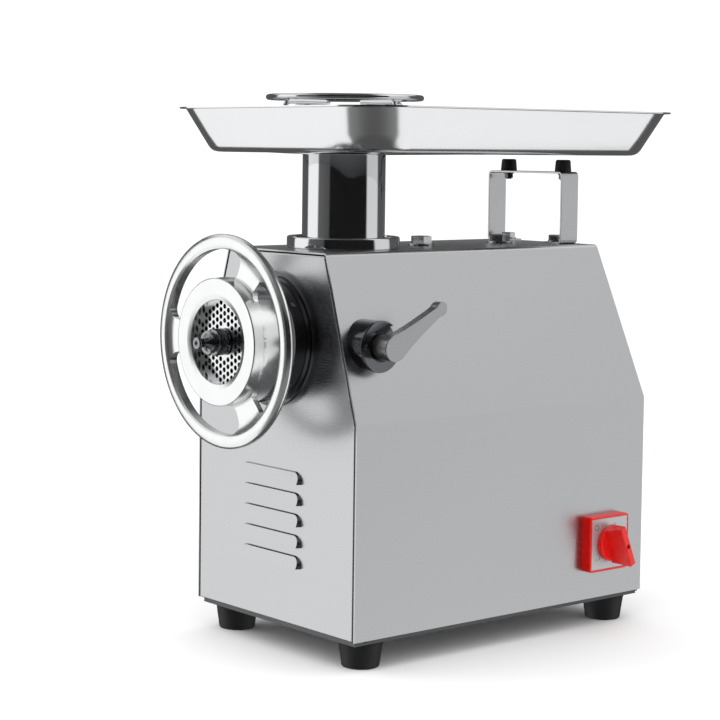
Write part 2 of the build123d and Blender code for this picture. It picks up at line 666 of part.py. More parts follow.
def make_tray_bracket():
    t = BRACKET_SHEET
    half = BRACKET_HALF
    foot = BRACKET_FOOT
    high = BRACKET_TOP_Z
    points = [(half - foot, TOP_Z), (half, TOP_Z), (half, high), (-half, high), (-half, TOP_Z)]
    points += [(foot - half, TOP_Z), (foot - half, TOP_Z + t), (t - half, TOP_Z + t), (t - half, high - t)]
    points += [(half - t, high - t), (half - t, TOP_Z + t), (half - foot, TOP_Z + t)]
    low = BRACKET_Y - BRACKET_WIDTH / 2
    strap = prism_y(points, low, low + BRACKET_WIDTH)
    corners = strap.edges().filter_by(Axis.Y)
    outer = [e for e in corners if abs(abs(e.center().X) - half) < 0.01]
    strap = fillet(outer, BRACKET_BEND_R)
    inner = [e for e in strap.edges().filter_by(Axis.Y) if abs(abs(e.center().X) - half + t) < 0.01]
    strap = fillet(inner, BRACKET_SHEET)
    for x in BUMPERS_X:
        strap -= cyl_z(BUMPER_STUD_R + RUNNING_GAP, BRACKET_TOP_Z - 6, BRACKET_TOP_Z + 2, x, BRACKET_Y)
    for side in LEFT_RIGHT:
        strap -= cyl_z(BRACKET_BOLT_R + SCREW_GAP, TOP_Z - 2, TOP_Z + 6, side * BRACKET_BOLT_X, BRACKET_Y)
    return strap


def make_bracket_bolt(side):
    x = side * BRACKET_BOLT_X
    seat = TOP_Z + BRACKET_SHEET
    head_z = seat + BRACKET_WASHER
    bolt = cyl_z(BRACKET_WASHER_R, seat, head_z, x, BRACKET_Y)
    bolt += hexagon_z(BRACKET_BOLT_FLATS, head_z, head_z + BRACKET_BOLT_HEAD, x, BRACKET_Y)
    return bolt + cyl_z(BRACKET_BOLT_R, TOP_Z - 10, seat + 1, x, BRACKET_Y)


def make_bumper(x):
    bumper = Pos(x, BRACKET_Y, BRACKET_TOP_Z + BUMPER_H / 2) * Cone(BUMPER_R, BUMPER_TOP_R, BUMPER_H)
    bumper = fillet(bumper.edges().sort_by(Axis.Z)[-1], 1.2)
    return bumper + cyl_z(BUMPER_STUD_R, BRACKET_TOP_Z - 9.0, BRACKET_TOP_Z + 1, x, BRACKET_Y)


def make_bumper_nut(x):
    under = BRACKET_TOP_Z - BRACKET_SHEET
    nut = cyl_z(5.2, under - 1.4, under, x, BRACKET_Y) + hexagon_z(8.0, under - 6.0, under - 1.2, x, BRACKET_Y)
    return nut - cyl_z(BUMPER_STUD_R, under - 8, under + 1, x, BRACKET_Y)


# ---------------------------------------------------------------- clamp lever
def make_lever_collar():
    """Guard collar of the clamp screw, cut to the sloping side, with a pocket and an arm notch."""
    collar = cyl_x(COLLAR_R, 88.0, COLLAR_FACE_X, LEVER_Y, AXIS_Z)
    collar = fillet(collar.edges().sort_by(Axis.X)[-1], 1.5)
    collar -= prism_y(section_points(0.0, PANEL_BOTTOM_Z), FRONT_Y - 5, REAR_Y)
    collar -= cyl_x(POCKET_R, POCKET_FLOOR_X, COLLAR_FACE_X + 5, LEVER_Y, AXIS_Z)
    collar -= cyl_x(CLAMP_SCREW_R + 0.6, 80, COLLAR_FACE_X, LEVER_Y, AXIS_Z)
    notch = block(POCKET_FLOOR_X, COLLAR_FACE_X + 5, 0, 40, -POCKET_R, POCKET_R)
    collar -= Pos(0, LEVER_Y, AXIS_Z) * Rot(LEVER_ANGLE - 14, 0, 0) * notch
    return collar - cyl_x(2.6, COLLAR_FACE_X - 12, COLLAR_FACE_X + 1, LEVER_Y - COLLAR_SCREW_R, AXIS_Z + 1)


def make_collar_screw():
    screw = cyl_x(2.6, COLLAR_FACE_X - 12, COLLAR_FACE_X - 0.8, LEVER_Y - COLLAR_SCREW_R, AXIS_Z + 1)
    socket = Plane.YZ.offset(COLLAR_FACE_X - 3.5) * Pos(LEVER_Y - COLLAR_SCREW_R, AXIS_Z + 1)
    return screw - extrude(socket * RegularPolygon(1.4, 6, major_radius=False), 5)


def make_clamp_lever():
    arm_x0 = LEVER_END_X - LEVER_THICKNESS
    hub = cyl_x(LEVER_HUB_R, COLLAR_FACE_X - 6.0, LEVER_END_X)
    hub = fillet(hub.edges().sort_by(Axis.X)[-1], 1.5)
    tip = cyl_x(LEVER_TIP_R, arm_x0 - 2.0, LEVER_END_X, LEVER_ARM, 0)
    tip = fillet(tip.edges().filter_by(GeomType.CIRCLE), 1.5)
    waist = [(4, -10.8), (14, -8.2), (LEVER_ARM - 6, -4.6), (LEVER_ARM - 6, 4.6), (14, 8.2), (4, 10.8)]
    arm = prism_x(waist, arm_x0, LEVER_END_X - 0.6)
    lever = hub + arm + tip
    return Pos(0, LEVER_Y, AXIS_Z) * Rot(LEVER_ANGLE, 0, 0) * lever


def make_clamp_screw():
    return cyl_x(CLAMP_SCREW_R, SOCKET_BORE_R + 0.5, COLLAR_FACE_X - 6.0, LEVER_Y, AXIS_Z)


# ---------------------------------------------------------------- switch
def make_switch_plate():
    x0 = BODY_HALF
    y0 = SWITCH_Y - SWITCH_WIDTH / 2
    z0 = SWITCH_Z - SWITCH_HEIGHT / 2
    plate = block(x0, x0 + SWITCH_DEPTH, y0, y0 + SWITCH_WIDTH, z0, z0 + SWITCH_HEIGHT)
    plate = fillet(plate.edges().filter_by(Axis.X), 4.0)
    plate = fillet(plate.faces().sort_by(Axis.X)[-1].edges(), 1.2)
    face = x0 + SWITCH_DEPTH
    rim = SWITCH_RIM
    plate -= block(face - 0.8, face + 1, y0 + rim, y0 + SWITCH_WIDTH - rim, z0 + rim, z0 + SWITCH_HEIGHT - rim)
    return plate - cyl_x(5.0, x0 - 1, face + 1, SWITCH_Y, SWITCH_Z)


def make_switch_label():
    face = BODY_HALF + SWITCH_DEPTH
    half_y = SWITCH_WIDTH / 2 - SWITCH_RIM - 0.2
    half_z = SWITCH_HEIGHT / 2 - SWITCH_RIM - 0.2
    low_z = SWITCH_Z - half_z
    label = block(face - 0.8, face - 0.2, SWITCH_Y - half_y, SWITCH_Y + half_y, low_z, SWITCH_Z + half_z)
    return label - cyl_x(6.0, face - 2, face + 1, SWITCH_Y, SWITCH_Z)


def make_switch_knob():
    """Round base with a tall wedge grip; the spindle runs back into the switch body."""
    face = BODY_HALF + SWITCH_DEPTH
    x0 = face + KNOB_GAP
    base = cyl_x(KNOB_R, x0, x0 + 5.5)
    base = fillet(base.edges().sort_by(Axis.X)[-1], 1.5)
    thick = 5.2
    end_thick = 3.6
    grip_top = x0 + KNOB_GRIP_H
    low = Plane.YZ.offset(x0 + 3.0) * Rectangle(2 * thick + 4.0, 2 * KNOB_GRIP_HALF - 6)
    high = Plane.YZ.offset(grip_top) * Rectangle(2 * end_thick, 2 * KNOB_GRIP_HALF)
    grip = loft([low, high])
    grip = fillet(grip.edges().sort_by(Axis.X)[-4:], 1.0)
    spindle = cyl_x(4.0, BODY_HALF - 20, x0 + 2)
    knob = base + grip + spindle
    knob -= cyl_x(2.5, grip_top - 5.0, grip_top + 1)
    return Pos(0, SWITCH_Y, SWITCH_Z) * Rot(KNOB_TILT, 0, 0) * knob


def make_knob_screw():
    top = BODY_HALF + SWITCH_DEPTH + KNOB_GAP + KNOB_GRIP_H
    screw = cyl_x(2.5, top - 5.0, top - 2.2, SWITCH_Y, SWITCH_Z)
    slot = block(top - 3.0, top, SWITCH_Y - 0.4, SWITCH_Y + 0.4, SWITCH_Z - 3, SWITCH_Z + 3)
    return screw - slot


def make_switch_body():
    half = SWITCH_BODY_HALF
    back = BODY_HALF - SWITCH_BODY_DEPTH
    body = block(back, BODY_HALF, SWITCH_Y - half, SWITCH_Y + half, SWITCH_Z - half, SWITCH_Z + half)
    return body - cyl_x(4.3, BODY_HALF - 21, BODY_HALF + 1, SWITCH_Y, SWITCH_Z)


# ---------------------------------------------------------------- gearbox
def involute_gear(teeth, y_span, bore, z, phase):
    """Spur gear about a line along Y; phase turns it, in tooth pitches."""
    pitch_r = GEAR_MODULE * teeth / 2
    base_r = pitch_r * cos(radians(PRESSURE_ANGLE))
    tip_r = pitch_r + GEAR_MODULE
    root_r = pitch_r - 1.25 * GEAR_MODULE
    roll = tan(radians(PRESSURE_ANGLE)) - radians(PRESSURE_ANGLE)
    half_pitch = pi / 2 / teeth - BACKLASH / 2 / pitch_r + roll

    def flank(radius):
        if radius < base_r:
            return half_pitch
        alpha = acos(base_r / radius)
        return half_pitch - (tan(alpha) - alpha)

    start = max(base_r, root_r)
    radii = [start + (tip_r - start) * i / 5 for i in range(6)]
    if root_r < base_r:
        radii.insert(0, root_r)
    points = []
    for tooth in range(teeth):
        centre = 2 * pi * (tooth + phase) / teeth
        points += [(r * cos(centre - flank(r)), r * sin(centre - flank(r))) for r in radii]
        points += [(r * cos(centre + flank(r)), r * sin(centre + flank(r))) for r in reversed(radii)]
    outline = Plane(origin=(0, y_span[1], z), x_dir=(1, 0, 0), z_dir=(0, -1, 0)) * face_of(points)
    gear = extrude(outline, y_span[1] - y_span[0])
    return gear - cyl_y(bore, y_span[0] - 1, y_span[1] + 1, 0, z)


def gear_phase_up(teeth):
    """Phase that puts a tooth straight up (+Z)."""
    return (teeth / 4) % 1.0


def gear_phase_down_gap(teeth):
    """Phase that puts a gap straight down (-Z)."""
    return (teeth * 3 / 4 + 0.5) % 1.0


def case_outline(grow):
    """Egg-shaped gear case outline: round over each shaft, straight between."""
    rounds = [(AXIS_Z, 62.0), (LAY_Z, 90.0), (MOTOR_Z, 40.0)]
    circles = [Pos(0, z) * Circle(radius + grow) for z, radius in rounds]
    return make_hull([circle.edge() for circle in circles])


def case_block(grow, y0, y1):
    plane = Plane(origin=(0, y1, 0), x_dir=(1, 0, 0), z_dir=(0, -1, 0))
    return extrude(plane * case_outline(grow), y1 - y0)


def make_gearbox_case():
    case = case_block(CASE_WALL, CASE_FRONT_Y, CASE_REAR_Y - 8)
    case -= case_block(0.0, CASE_FRONT_Y + CASE_WALL, CASE_REAR_Y)
    case += cyl_y(BOSS_R, BARREL_REAR_Y - 6, CASE_FRONT_Y + 1)
    case += cyl_y(BOSS_R + 2, CASE_FRONT_Y, OUTPUT_BEARING_Y[1])
    case += block(-20, 20, CASE_FRONT_Y, CASE_REAR_Y - 8, AXIS_Z + 62, CASE_TOP_Z)
    case += block(-45, 45, CASE_FRONT_Y, CASE_REAR_Y - 8, PAN_FLOOR_Z, MOTOR_Z - 35)
    case -= cyl_y(OUTPUT_BEARING_R, OUTPUT_BEARING_Y[0], OUTPUT_BEARING_Y[1] + 1)
    case -= cyl_y(SEAL_R, BARREL_REAR_Y - 10, OUTPUT_BEARING_Y[0] + 1)
    case -= cyl_y(LAY_BEARING_R, LAY_FRONT_BEARING_Y[0], LAY_FRONT_BEARING_Y[1] + 1, 0, LAY_Z)
    case -= case_block(0.0, OUTPUT_BEARING_Y[1], CASE_REAR_Y)
    return case


def make_gearbox_cover():
    cover = case_block(CASE_WALL, CASE_REAR_Y - 8, CASE_REAR_Y)
    cover += cyl_y(LAY_BEARING_R + 5, CASE_REAR_Y - 11, CASE_REAR_Y, 0, LAY_Z)
    cover -= cyl_y(LAY_BEARING_R, LAY_REAR_BEARING_Y[0] - 1, LAY_REAR_BEARING_Y[1], 0, LAY_Z)
    return cover - cyl_y(MOTOR_BEARING_R, CASE_REAR_Y - 20, CASE_REAR_Y + 1, 0, MOTOR_Z)


def make_output_shaft():
    shaft = cyl_y(OUTPUT_COLLAR_R, BARREL_REAR_Y - 8, OUTPUT_BEARING_Y[0] - 0.3)
    shaft += cyl_y(OUTPUT_SHAFT_R, OUTPUT_BEARING_Y[0] - 1, OUTPUT_GEAR_Y[1] + 2)
    plane = Plane(origin=(0, TAIL_END_Y + 1, AXIS_Z), x_dir=(1, 0, 0), z_dir=(0, -1, 0))
    socket = extrude(plane * RegularPolygon(TAIL_HEX + 0.1, 6, major_radius=False), 30)
    return shaft - socket


def make_shaft_seal():
    seal = ring_y(SEAL_R, OUTPUT_COLLAR_R + RUNNING_GAP, BARREL_REAR_Y - 4, BARREL_REAR_Y + 3)
    return seal - ring_y(22.5, 20.0, BARREL_REAR_Y - 5, BARREL_REAR_Y)


def make_lay_shaft():
    front = LAY_FRONT_BEARING_Y[0] + 0.5
    return cyl_y(LAY_SHAFT_R, front, LAY_REAR_BEARING_Y[1] - 0.5, 0, LAY_Z)


def make_bearing(outer, bore, y_span, z):
    """Ball bearing drawn as one sealed ring with a groove between its races."""
    middle = (outer + bore) / 2
    ring = ring_y(outer, bore, y_span[0], y_span[1], 0, z)
    for start in (y_span[0] - 1, y_span[1] - 0.6):
        ring -= ring_y(middle + 3, middle - 3, start, start + 1.6, 0, z)
    return ring


# ---------------------------------------------------------------- motor
def make_motor_shaft():
    shaft = cyl_y(MOTOR_SHAFT_R, MOTOR_PINION_Y[0], COWL_END_Y - 2, 0, MOTOR_Z)
    return shaft + cyl_y(MOTOR_SHAFT_R + 3, MOTOR_Y[0] + 24, MOTOR_Y[1] - 22, 0, MOTOR_Z)


def make_rotor():
    rotor = ring_y(ROTOR_R, MOTOR_SHAFT_R + 3, STACK_Y[0], STACK_Y[1], 0, MOTOR_Z)
    for y0 in (STACK_Y[0] - 6, STACK_Y[1]):
        rotor += ring_y(ROTOR_R - 1, ROTOR_R - 9, y0, y0 + 6, 0, MOTOR_Z)
    return rotor


def make_stator():
    stator = ring_y(STATOR_R, ROTOR_R + 0.6, STACK_Y[0], STACK_Y[1], 0, MOTOR_Z)
    for y0 in (STACK_Y[0] - 15, STACK_Y[1]):
        stator += ring_y(STATOR_R - 6, ROTOR_R + 4, y0, y0 + 15, 0, MOTOR_Z)
    return stator


def make_motor_case():
    case = ring_y(MOTOR_R, STATOR_R, MOTOR_Y[0] + 8, MOTOR_Y[1] - 8, 0, MOTOR_Z)
    for side in LEFT_RIGHT:
        x = side * 45
        case += block(x - 12, x + 12, 40, 125, PAN_FLOOR_Z, MOTOR_Z - 46)
    return case - cyl_y(STATOR_R, MOTOR_Y[0], MOTOR_Y[1], 0, MOTOR_Z)


def make_end_bell(y0, y1, bearing_side):
    bell = cyl_y(MOTOR_R, y0, y1, 0, MOTOR_Z)
    bell += cyl_y(26.0, min(y0, bearing_side[0]), max(y1, bearing_side[1]), 0, MOTOR_Z)
    bell -= cyl_y(MOTOR_BEARING_R, bearing_side[0], bearing_side[1], 0, MOTOR_Z)
    return bell - cyl_y(MOTOR_SHAFT_R + 1.5, y0 - 20, y1 + 20, 0, MOTOR_Z)


def make_end_bells():
    front = make_end_bell(CASE_REAR_Y, MOTOR_Y[0] + 8, (CASE_REAR_Y + 1, MOTOR_Y[0] + 12))
    rear = make_end_bell(MOTOR_Y[1] - 8, MOTOR_Y[1] + 1, (MOTOR_Y[1] - 13, MOTOR_Y[1] - 1))
    return [front, rear]


def make_cooling_fan():
    fan = ring_y(16.0, MOTOR_SHAFT_R, FAN_Y[0], FAN_Y[1], 0, MOTOR_Z)
    fan += ring_y(FAN_R, 15.0, FAN_Y[0], FAN_Y[0] + 2, 0, MOTOR_Z)
    for index in range(FAN_BLADES):
        blade = block(14, FAN_R, FAN_Y[0] + 1, FAN_Y[1], -1.2, 1.2)
        fan += Pos(0, 0, MOTOR_Z) * Rot(0, 360 / FAN_BLADES * index, 0) * blade
    return fan


def make_fan_cowl():
    cowl = ring_y(MOTOR_R - 2, MOTOR_R - 4, MOTOR_Y[1] + 1, COWL_END_Y, 0, MOTOR_Z)
    return cowl + ring_y(MOTOR_R - 2, ROTOR_R, COWL_END_Y - 2, COWL_END_Y, 0, MOTOR_Z)


def make_capacitor():
    return cyl_y(CAPACITOR_R, 30, 110, -92, 62)


def make_terminal_block():
    terminal = block(60, 108, 20, 44, PAN_FLOOR_Z, PAN_FLOOR_Z + 16)
    for index in range(4):
        terminal -= cyl_z(2.2, PAN_FLOOR_Z + 7.5, PAN_FLOOR_Z + 17, 66 + 12 * index, 32)
    return terminal


def make_cable_gland():
    gland = cyl_y(GLAND_R, REAR_Y - 12, REAR_Y + 6, GLAND_X, GLAND_Z)
    gland += cyl_y(GLAND_NUT_R, REAR_Y, REAR_Y + 5, GLAND_X, GLAND_Z)
    gland += cyl_y(GLAND_NUT_R, REAR_Y - SHEET - 5, REAR_Y - SHEET, GLAND_X, GLAND_Z)
    gland += cyl_y(GLAND_CAP_R, REAR_Y + 4, REAR_Y + 15, GLAND_X, GLAND_Z)
    return gland - cyl_y(GLAND_BORE_R, REAR_Y - 20, REAR_Y + 20, GLAND_X, GLAND_Z)


# ---------------------------------------------------------------- build everything
def main():
    os.makedirs("parts", exist_ok=True)

    save("base_pan", make_base_pan())
    save("front_panel", make_front_panel())
    save("wrap_cover", make_wrap_cover())
    save("rear_panel", make_rear_panel())
    save("rubber_feet", group(make_foot(x, y) for x, y in FOOT_PLACES))
    save("foot_screws", group(make_foot_screw(x, y) for x, y in FOOT_PLACES))
    save("foot_nuts", group(make_foot_nut(x, y) for x, y in FOOT_PLACES))

    save("front_flange", make_front_flange())
    save("flange_set_screws", group(make_flange_set_screw(a) for a in SET_SCREW_ANGLES))
    save("head_socket", make_head_socket())
    save("grinder_barrel", make_barrel())
    save("auger", make_auger())
    save("auger_stud", make_auger_stud())
    save("knife", make_knife())
    save("grinding_plate", make_grinding_plate())
    save("plate_key", cyl_y(KEY_R, PLATE_FRONT_Y + 1.2, PLATE_REAR_Y, 0, AXIS_Z - PLATE_R))
    save("ring_nut", make_ring_nut())

    save("feed_tube", make_feed_tube())
    save("feed_flange", make_feed_flange())
    save("tray", make_tray())
    save("tray_spout", make_tray_spout())
    save("guard_ring", make_guard_ring())
    save("guard_legs", group(make_guard_leg(90 * i) for i in range(4)))
    save("top_washers", group(make_top_washer(y) for y in (BOLT_Y_FRONT, BOLT_Y_REAR)))
    save("top_bolts", group(make_top_bolt(y) for y in (BOLT_Y_FRONT, BOLT_Y_REAR)))
    save("tray_bracket", make_tray_bracket())
    save("bracket_bolts", group(make_bracket_bolt(side) for side in LEFT_RIGHT))
    save("tray_bumpers", group(make_bumper(x) for x in BUMPERS_X))
    save("bumper_nuts", group(make_bumper_nut(x) for x in BUMPERS_X))

    save("lever_collar", make_lever_collar())
    save("collar_screw", make_collar_screw())
    save("clamp_lever", make_clamp_lever())
    save("clamp_screw", make_clamp_screw())
    save("switch_plate", make_switch_plate())
    save("switch_label", make_switch_label())
    save("switch_knob", make_switch_knob())
    save("knob_screw", make_knob_screw())
    save("switch_body", make_switch_body())

    save("gearbox_case", make_gearbox_case())
    save("gearbox_cover", make_gearbox_cover())
    save("output_shaft", make_output_shaft())
    save("output_gear", involute_gear(OUTPUT_TEETH, OUTPUT_GEAR_Y, OUTPUT_SHAFT_R, AXIS_Z,
                                      gear_phase_down_gap(OUTPUT_TEETH)))
    output_bore = OUTPUT_SHAFT_R + RUNNING_GAP
    save("output_bearing", make_bearing(OUTPUT_BEARING_R, output_bore, OUTPUT_BEARING_Y, AXIS_Z))
    save("shaft_seal", make_shaft_seal())
    save("lay_shaft", make_lay_shaft())
    save("lay_pinion", involute_gear(LAY_PINION_TEETH, LAY_PINION_Y, LAY_SHAFT_R, LAY_Z,
                                     gear_phase_up(LAY_PINION_TEETH)))
    save("lay_gear", involute_gear(LAY_GEAR_TEETH, LAY_GEAR_Y, LAY_SHAFT_R, LAY_Z,
                                   gear_phase_down_gap(LAY_GEAR_TEETH)))
    lay_spans = (LAY_FRONT_BEARING_Y, LAY_REAR_BEARING_Y)
    lay_bore = LAY_SHAFT_R + RUNNING_GAP
    save("lay_bearings", group(make_bearing(LAY_BEARING_R, lay_bore, s, LAY_Z) for s in lay_spans))

    save("motor_shaft", make_motor_shaft())
    save("motor_pinion", involute_gear(MOTOR_PINION_TEETH, MOTOR_PINION_Y, MOTOR_SHAFT_R, MOTOR_Z,
                                       gear_phase_up(MOTOR_PINION_TEETH)))
    save("rotor", make_rotor())
    save("stator", make_stator())
    save("motor_case", make_motor_case())
    save("motor_end_bells", group(make_end_bells()))
    motor_spans = ((CASE_REAR_Y + 1, MOTOR_Y[0] + 12), (MOTOR_Y[1] - 13, MOTOR_Y[1] - 1))
    motor_bore = MOTOR_SHAFT_R + RUNNING_GAP
    save("motor_bearings", group(make_bearing(MOTOR_BEARING_R, motor_bore, s, MOTOR_Z) for s in motor_spans))
    save("cooling_fan", make_cooling_fan())
    save("fan_cowl", make_fan_cowl())
    save("capacitor", make_capacitor())
    save("terminal_block", make_terminal_block())
    save("cable_gland", make_cable_gland())


main()
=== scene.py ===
from math import cos, pi, radians, sin, sqrt

import bmesh
import bpy
from mathutils import Matrix, Vector


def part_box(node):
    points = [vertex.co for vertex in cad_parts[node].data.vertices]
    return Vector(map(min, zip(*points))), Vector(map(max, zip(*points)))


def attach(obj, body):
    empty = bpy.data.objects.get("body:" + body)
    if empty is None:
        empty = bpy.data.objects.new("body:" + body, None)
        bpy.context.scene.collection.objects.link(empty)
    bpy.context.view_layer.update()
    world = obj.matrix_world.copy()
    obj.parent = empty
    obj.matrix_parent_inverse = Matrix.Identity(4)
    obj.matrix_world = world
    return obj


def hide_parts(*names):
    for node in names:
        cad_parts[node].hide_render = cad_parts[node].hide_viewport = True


bl_info = {
    "name": "Electric meat grinder",
    "version": (1, 0, 0),
    "blender": (4, 5, 0),
    "location": "3D View > Sidebar > Grinder",
    "description": "Builds the visible pieces of a bench meat grinder on its packed frame",
    "category": "Object",
}

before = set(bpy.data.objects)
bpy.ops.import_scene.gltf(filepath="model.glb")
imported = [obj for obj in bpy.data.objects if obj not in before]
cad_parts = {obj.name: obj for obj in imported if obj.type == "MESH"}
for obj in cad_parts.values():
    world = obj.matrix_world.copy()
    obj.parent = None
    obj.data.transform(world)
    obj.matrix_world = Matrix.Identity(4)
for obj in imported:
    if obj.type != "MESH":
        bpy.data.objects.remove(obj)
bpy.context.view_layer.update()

MM = 0.001


def linear(hex_colour):
    """sRGB hex to linear light."""
    parts = [int(hex_colour[i:i + 2], 16) / 255 for i in (0, 2, 4)]
    return tuple(p / 12.92 if p <= 0.04045 else ((p + 0.055) / 1.055) ** 2.4 for p in parts)


# ---------------------------------------------------------------- finishes
# One row per finish: the title of its material, its sRGB colour, how metallic it is, its roughness,
# how much the roughness varies, the size of its grain in mm along X, Y and Z, the size of its soft
# clouding in mm, the height of its grain in mm, and how much its tone varies.
FINISHES = {
    # Cold-rolled sheet brushed with a belt: fine level lines that blur reflections into soft grey.
    "brushed_sheet": ("Stainless sheet, belt brushed", "BCBDBF", 1.0, 0.27, 0.015, (120, 120, 0.5), 140,
                      0.0001, 0.01),
    # The same sheet left dull under the cabinet; its colour is darkened nearly to black as painted shade,
    # since it stands out of the light.
    "base_sheet": ("Stainless sheet, darkened as painted shade", "5A5B5D", 1.0, 0.36, 0.06, (60, 60, 0.8), 80, 0.003,
                   0.10),
    # Deep-drawn sheet buffed after pressing: nearly mirror bright with a faint haze.
    "tray_sheet": ("Stainless sheet, pressed and buffed", "DDDEDF", 1.0, 0.15, 0.04, (50, 50, 1.2), 90, 0.003,
                   0.03),
    # Bar and tube polished on a lathe: hard bands of light and dark with hairline marks along the length.
    "polished_steel": ("Stainless steel, turned and polished", "D2D3D5", 1.0, 0.07, 0.04, (0.7, 0.7, 60), 60,
                       0.001, 0.04),
    # Turned steel collars; their colour is darkened below the polished steel as painted reflection, so that
    # their flanks show black with thin bright edges.
    "collar_steel": ("Alloy steel, turned, darker as painted reflection", "6A6B6E", 1.0, 0.15, 0.05, (30, 0.8, 30), 40, 0.002,
                     0.08),
    # Cast steel ground and tumbled smooth: broad soft highlights over slight ripples.
    "wheel_casting": ("Cast stainless, satin polished", "E2E3E3", 1.0, 0.21, 0.07, (9, 9, 9), 35, 0.030,
                      0.04),
    # Small casting blasted with glass beads: an even pale satin.
    "lever_casting": ("Cast stainless, bead blasted", "A9AAAB", 1.0, 0.30, 0.06, (0.8, 0.8, 0.8), 20, 0.012,
                      0.04),
    # Flat strap bent cold, its brushing along the strap.
    "strap_sheet": ("Stainless strap, brushed and bent", "B4B5B7", 1.0, 0.26, 0.06, (0.7, 0.7, 30), 50, 0.006,
                    0.05),
    # Machine-made hexagon hardware: smooth, with slightly dulled flats.
    "stainless_fasteners": ("Stainless fastener, cold headed", "BFC0C2", 1.0, 0.24, 0.08, (3, 3, 3), 12,
                            0.010, 0.08),
    # Steel screws blacked in hot oxide: dark with an oily sheen.
    "dark_fasteners": ("Steel screw, black oxide", "5E5F62", 1.0, 0.30, 0.08, (1.5, 1.5, 1.5), 8, 0.008,
                       0.12),
    # Hardened tool steel ground flat: bright, with faint grinding marks.
    "cutting_steel": ("Tool steel, surface ground", "DADBDC", 1.0, 0.18, 0.06, (0.6, 20, 12), 30, 0.004,
                      0.06),
    # Turned bar left bright from the tool: sharp glints.
    "stud_steel": ("Bright steel bar, turned", "8E8F92", 1.0, 0.12, 0.05, (12, 0.5, 12), 10, 0.004, 0.10),
    # Cast iron dipped in tin: grey, gently uneven, half gloss.
    "tinned_iron": ("Cast iron, hot tinned", "A9ABAE", 1.0, 0.34, 0.10, (5, 5, 5), 25, 0.060, 0.12),
    # Moulded rubber: deep matt black with a fine grain and a tone that varies in soft clouds.
    "black_rubber": ("Rubber, moulded", "161616", 0.0, 0.62, 0.08, (0.5, 0.5, 0.5), 14, 0.030, 0.35),
    # Injection-moulded polyamide dyed through: strong red, half gloss, fine spark grain.
    "switch_red": ("Polyamide, moulded red", "D81410", 0.0, 0.27, 0.05, (0.6, 0.6, 0.6), 16, 0.006, 0.06),
    # Anodised label plate: pale satin grey.
    "switch_grey": ("Aluminium label, satin anodised", "C6C8CA", 0.7, 0.42, 0.05, (20, 20, 0.5), 25, 0.004,
                    0.04),
    # Turned brass, slightly darkened.
    "brass_screw": ("Brass, turned", "C79A3F", 1.0, 0.26, 0.08, (1, 1, 1), 5, 0.006, 0.14),
    # Glass-filled plastic: dull black.
    "black_plastic": ("Polyamide, moulded black", "1B1B1D", 0.0, 0.48, 0.08, (0.7, 0.7, 0.7), 20, 0.010,
                      0.20),
    # Hobbed and hardened teeth wet with grease.
    "gear_steel": ("Alloy steel, hobbed and hardened", "8B8C8F", 1.0, 0.26, 0.08, (6, 1, 6), 18, 0.008, 0.12),
    # Through-hardened rings, ground and honed.
    "bearing_steel": ("Bearing steel, ground", "B9BBBE", 1.0, 0.16, 0.05, (10, 0.6, 10), 20, 0.003, 0.05),
    # Soft nitrile lip seal, brownish black.
    "seal_rubber": ("Nitrile rubber, moulded", "221D1A", 0.0, 0.55, 0.08, (0.8, 0.8, 0.8), 10, 0.010, 0.25),
    # Sand-cast iron under grey enamel: coarse orange-peel surface.
    "gearbox_iron": ("Cast iron, grey enamel", "73777A", 0.0, 0.44, 0.08, (2.5, 2.5, 2.5), 30, 0.120, 0.12),
    # Rolled steel shell, sprayed dark blue-grey.
    "motor_paint": ("Steel shell, sprayed enamel", "2F3A46", 0.0, 0.38, 0.06, (1.8, 1.8, 1.8), 40, 0.030,
                    0.10),
    # Stacked electrical sheet: fine stripes across the stack, drawn at 1.2 mm so that they show.
    "laminations": ("Electrical steel, stacked", "6E6A66", 1.0, 0.42, 0.12, (40, 1.2, 40), 20, 0.080, 0.25),
    # Screen ink on the switch label: dull blue-grey.
    "label_ink": ("Screen ink, blue grey", "5A5870", 0.0, 0.60, 0.05, (0.5, 0.5, 0.5), 6, 0.002, 0.10),
}


def colour_property(key):
    title = FINISHES[key][0]
    return bpy.props.FloatVectorProperty(
        name=title, description=f"Base colour of the {key.replace('_', ' ')} finish", subtype="COLOR",
        size=3, min=0.0, max=1.0, default=linear(FINISHES[key][1]))


class GrinderColours(bpy.types.PropertyGroup):
    """Base colour of every finish on the grinder."""
    __annotations__ = {key: colour_property(key) for key in FINISHES}


def add(tree, kind, settings=None, links=None):
    """Adds a node; settings go to its sockets or attributes, links to its inputs."""
    node = tree.nodes.new(kind)
    for key, value in (settings or {}).items():
        if isinstance(key, str) and hasattr(node, key):
            setattr(node, key, value)
        else:
            node.inputs[key].default_value = value
    for key, output in (links or {}).items():
        tree.links.new(output, node.inputs[key])
    return node


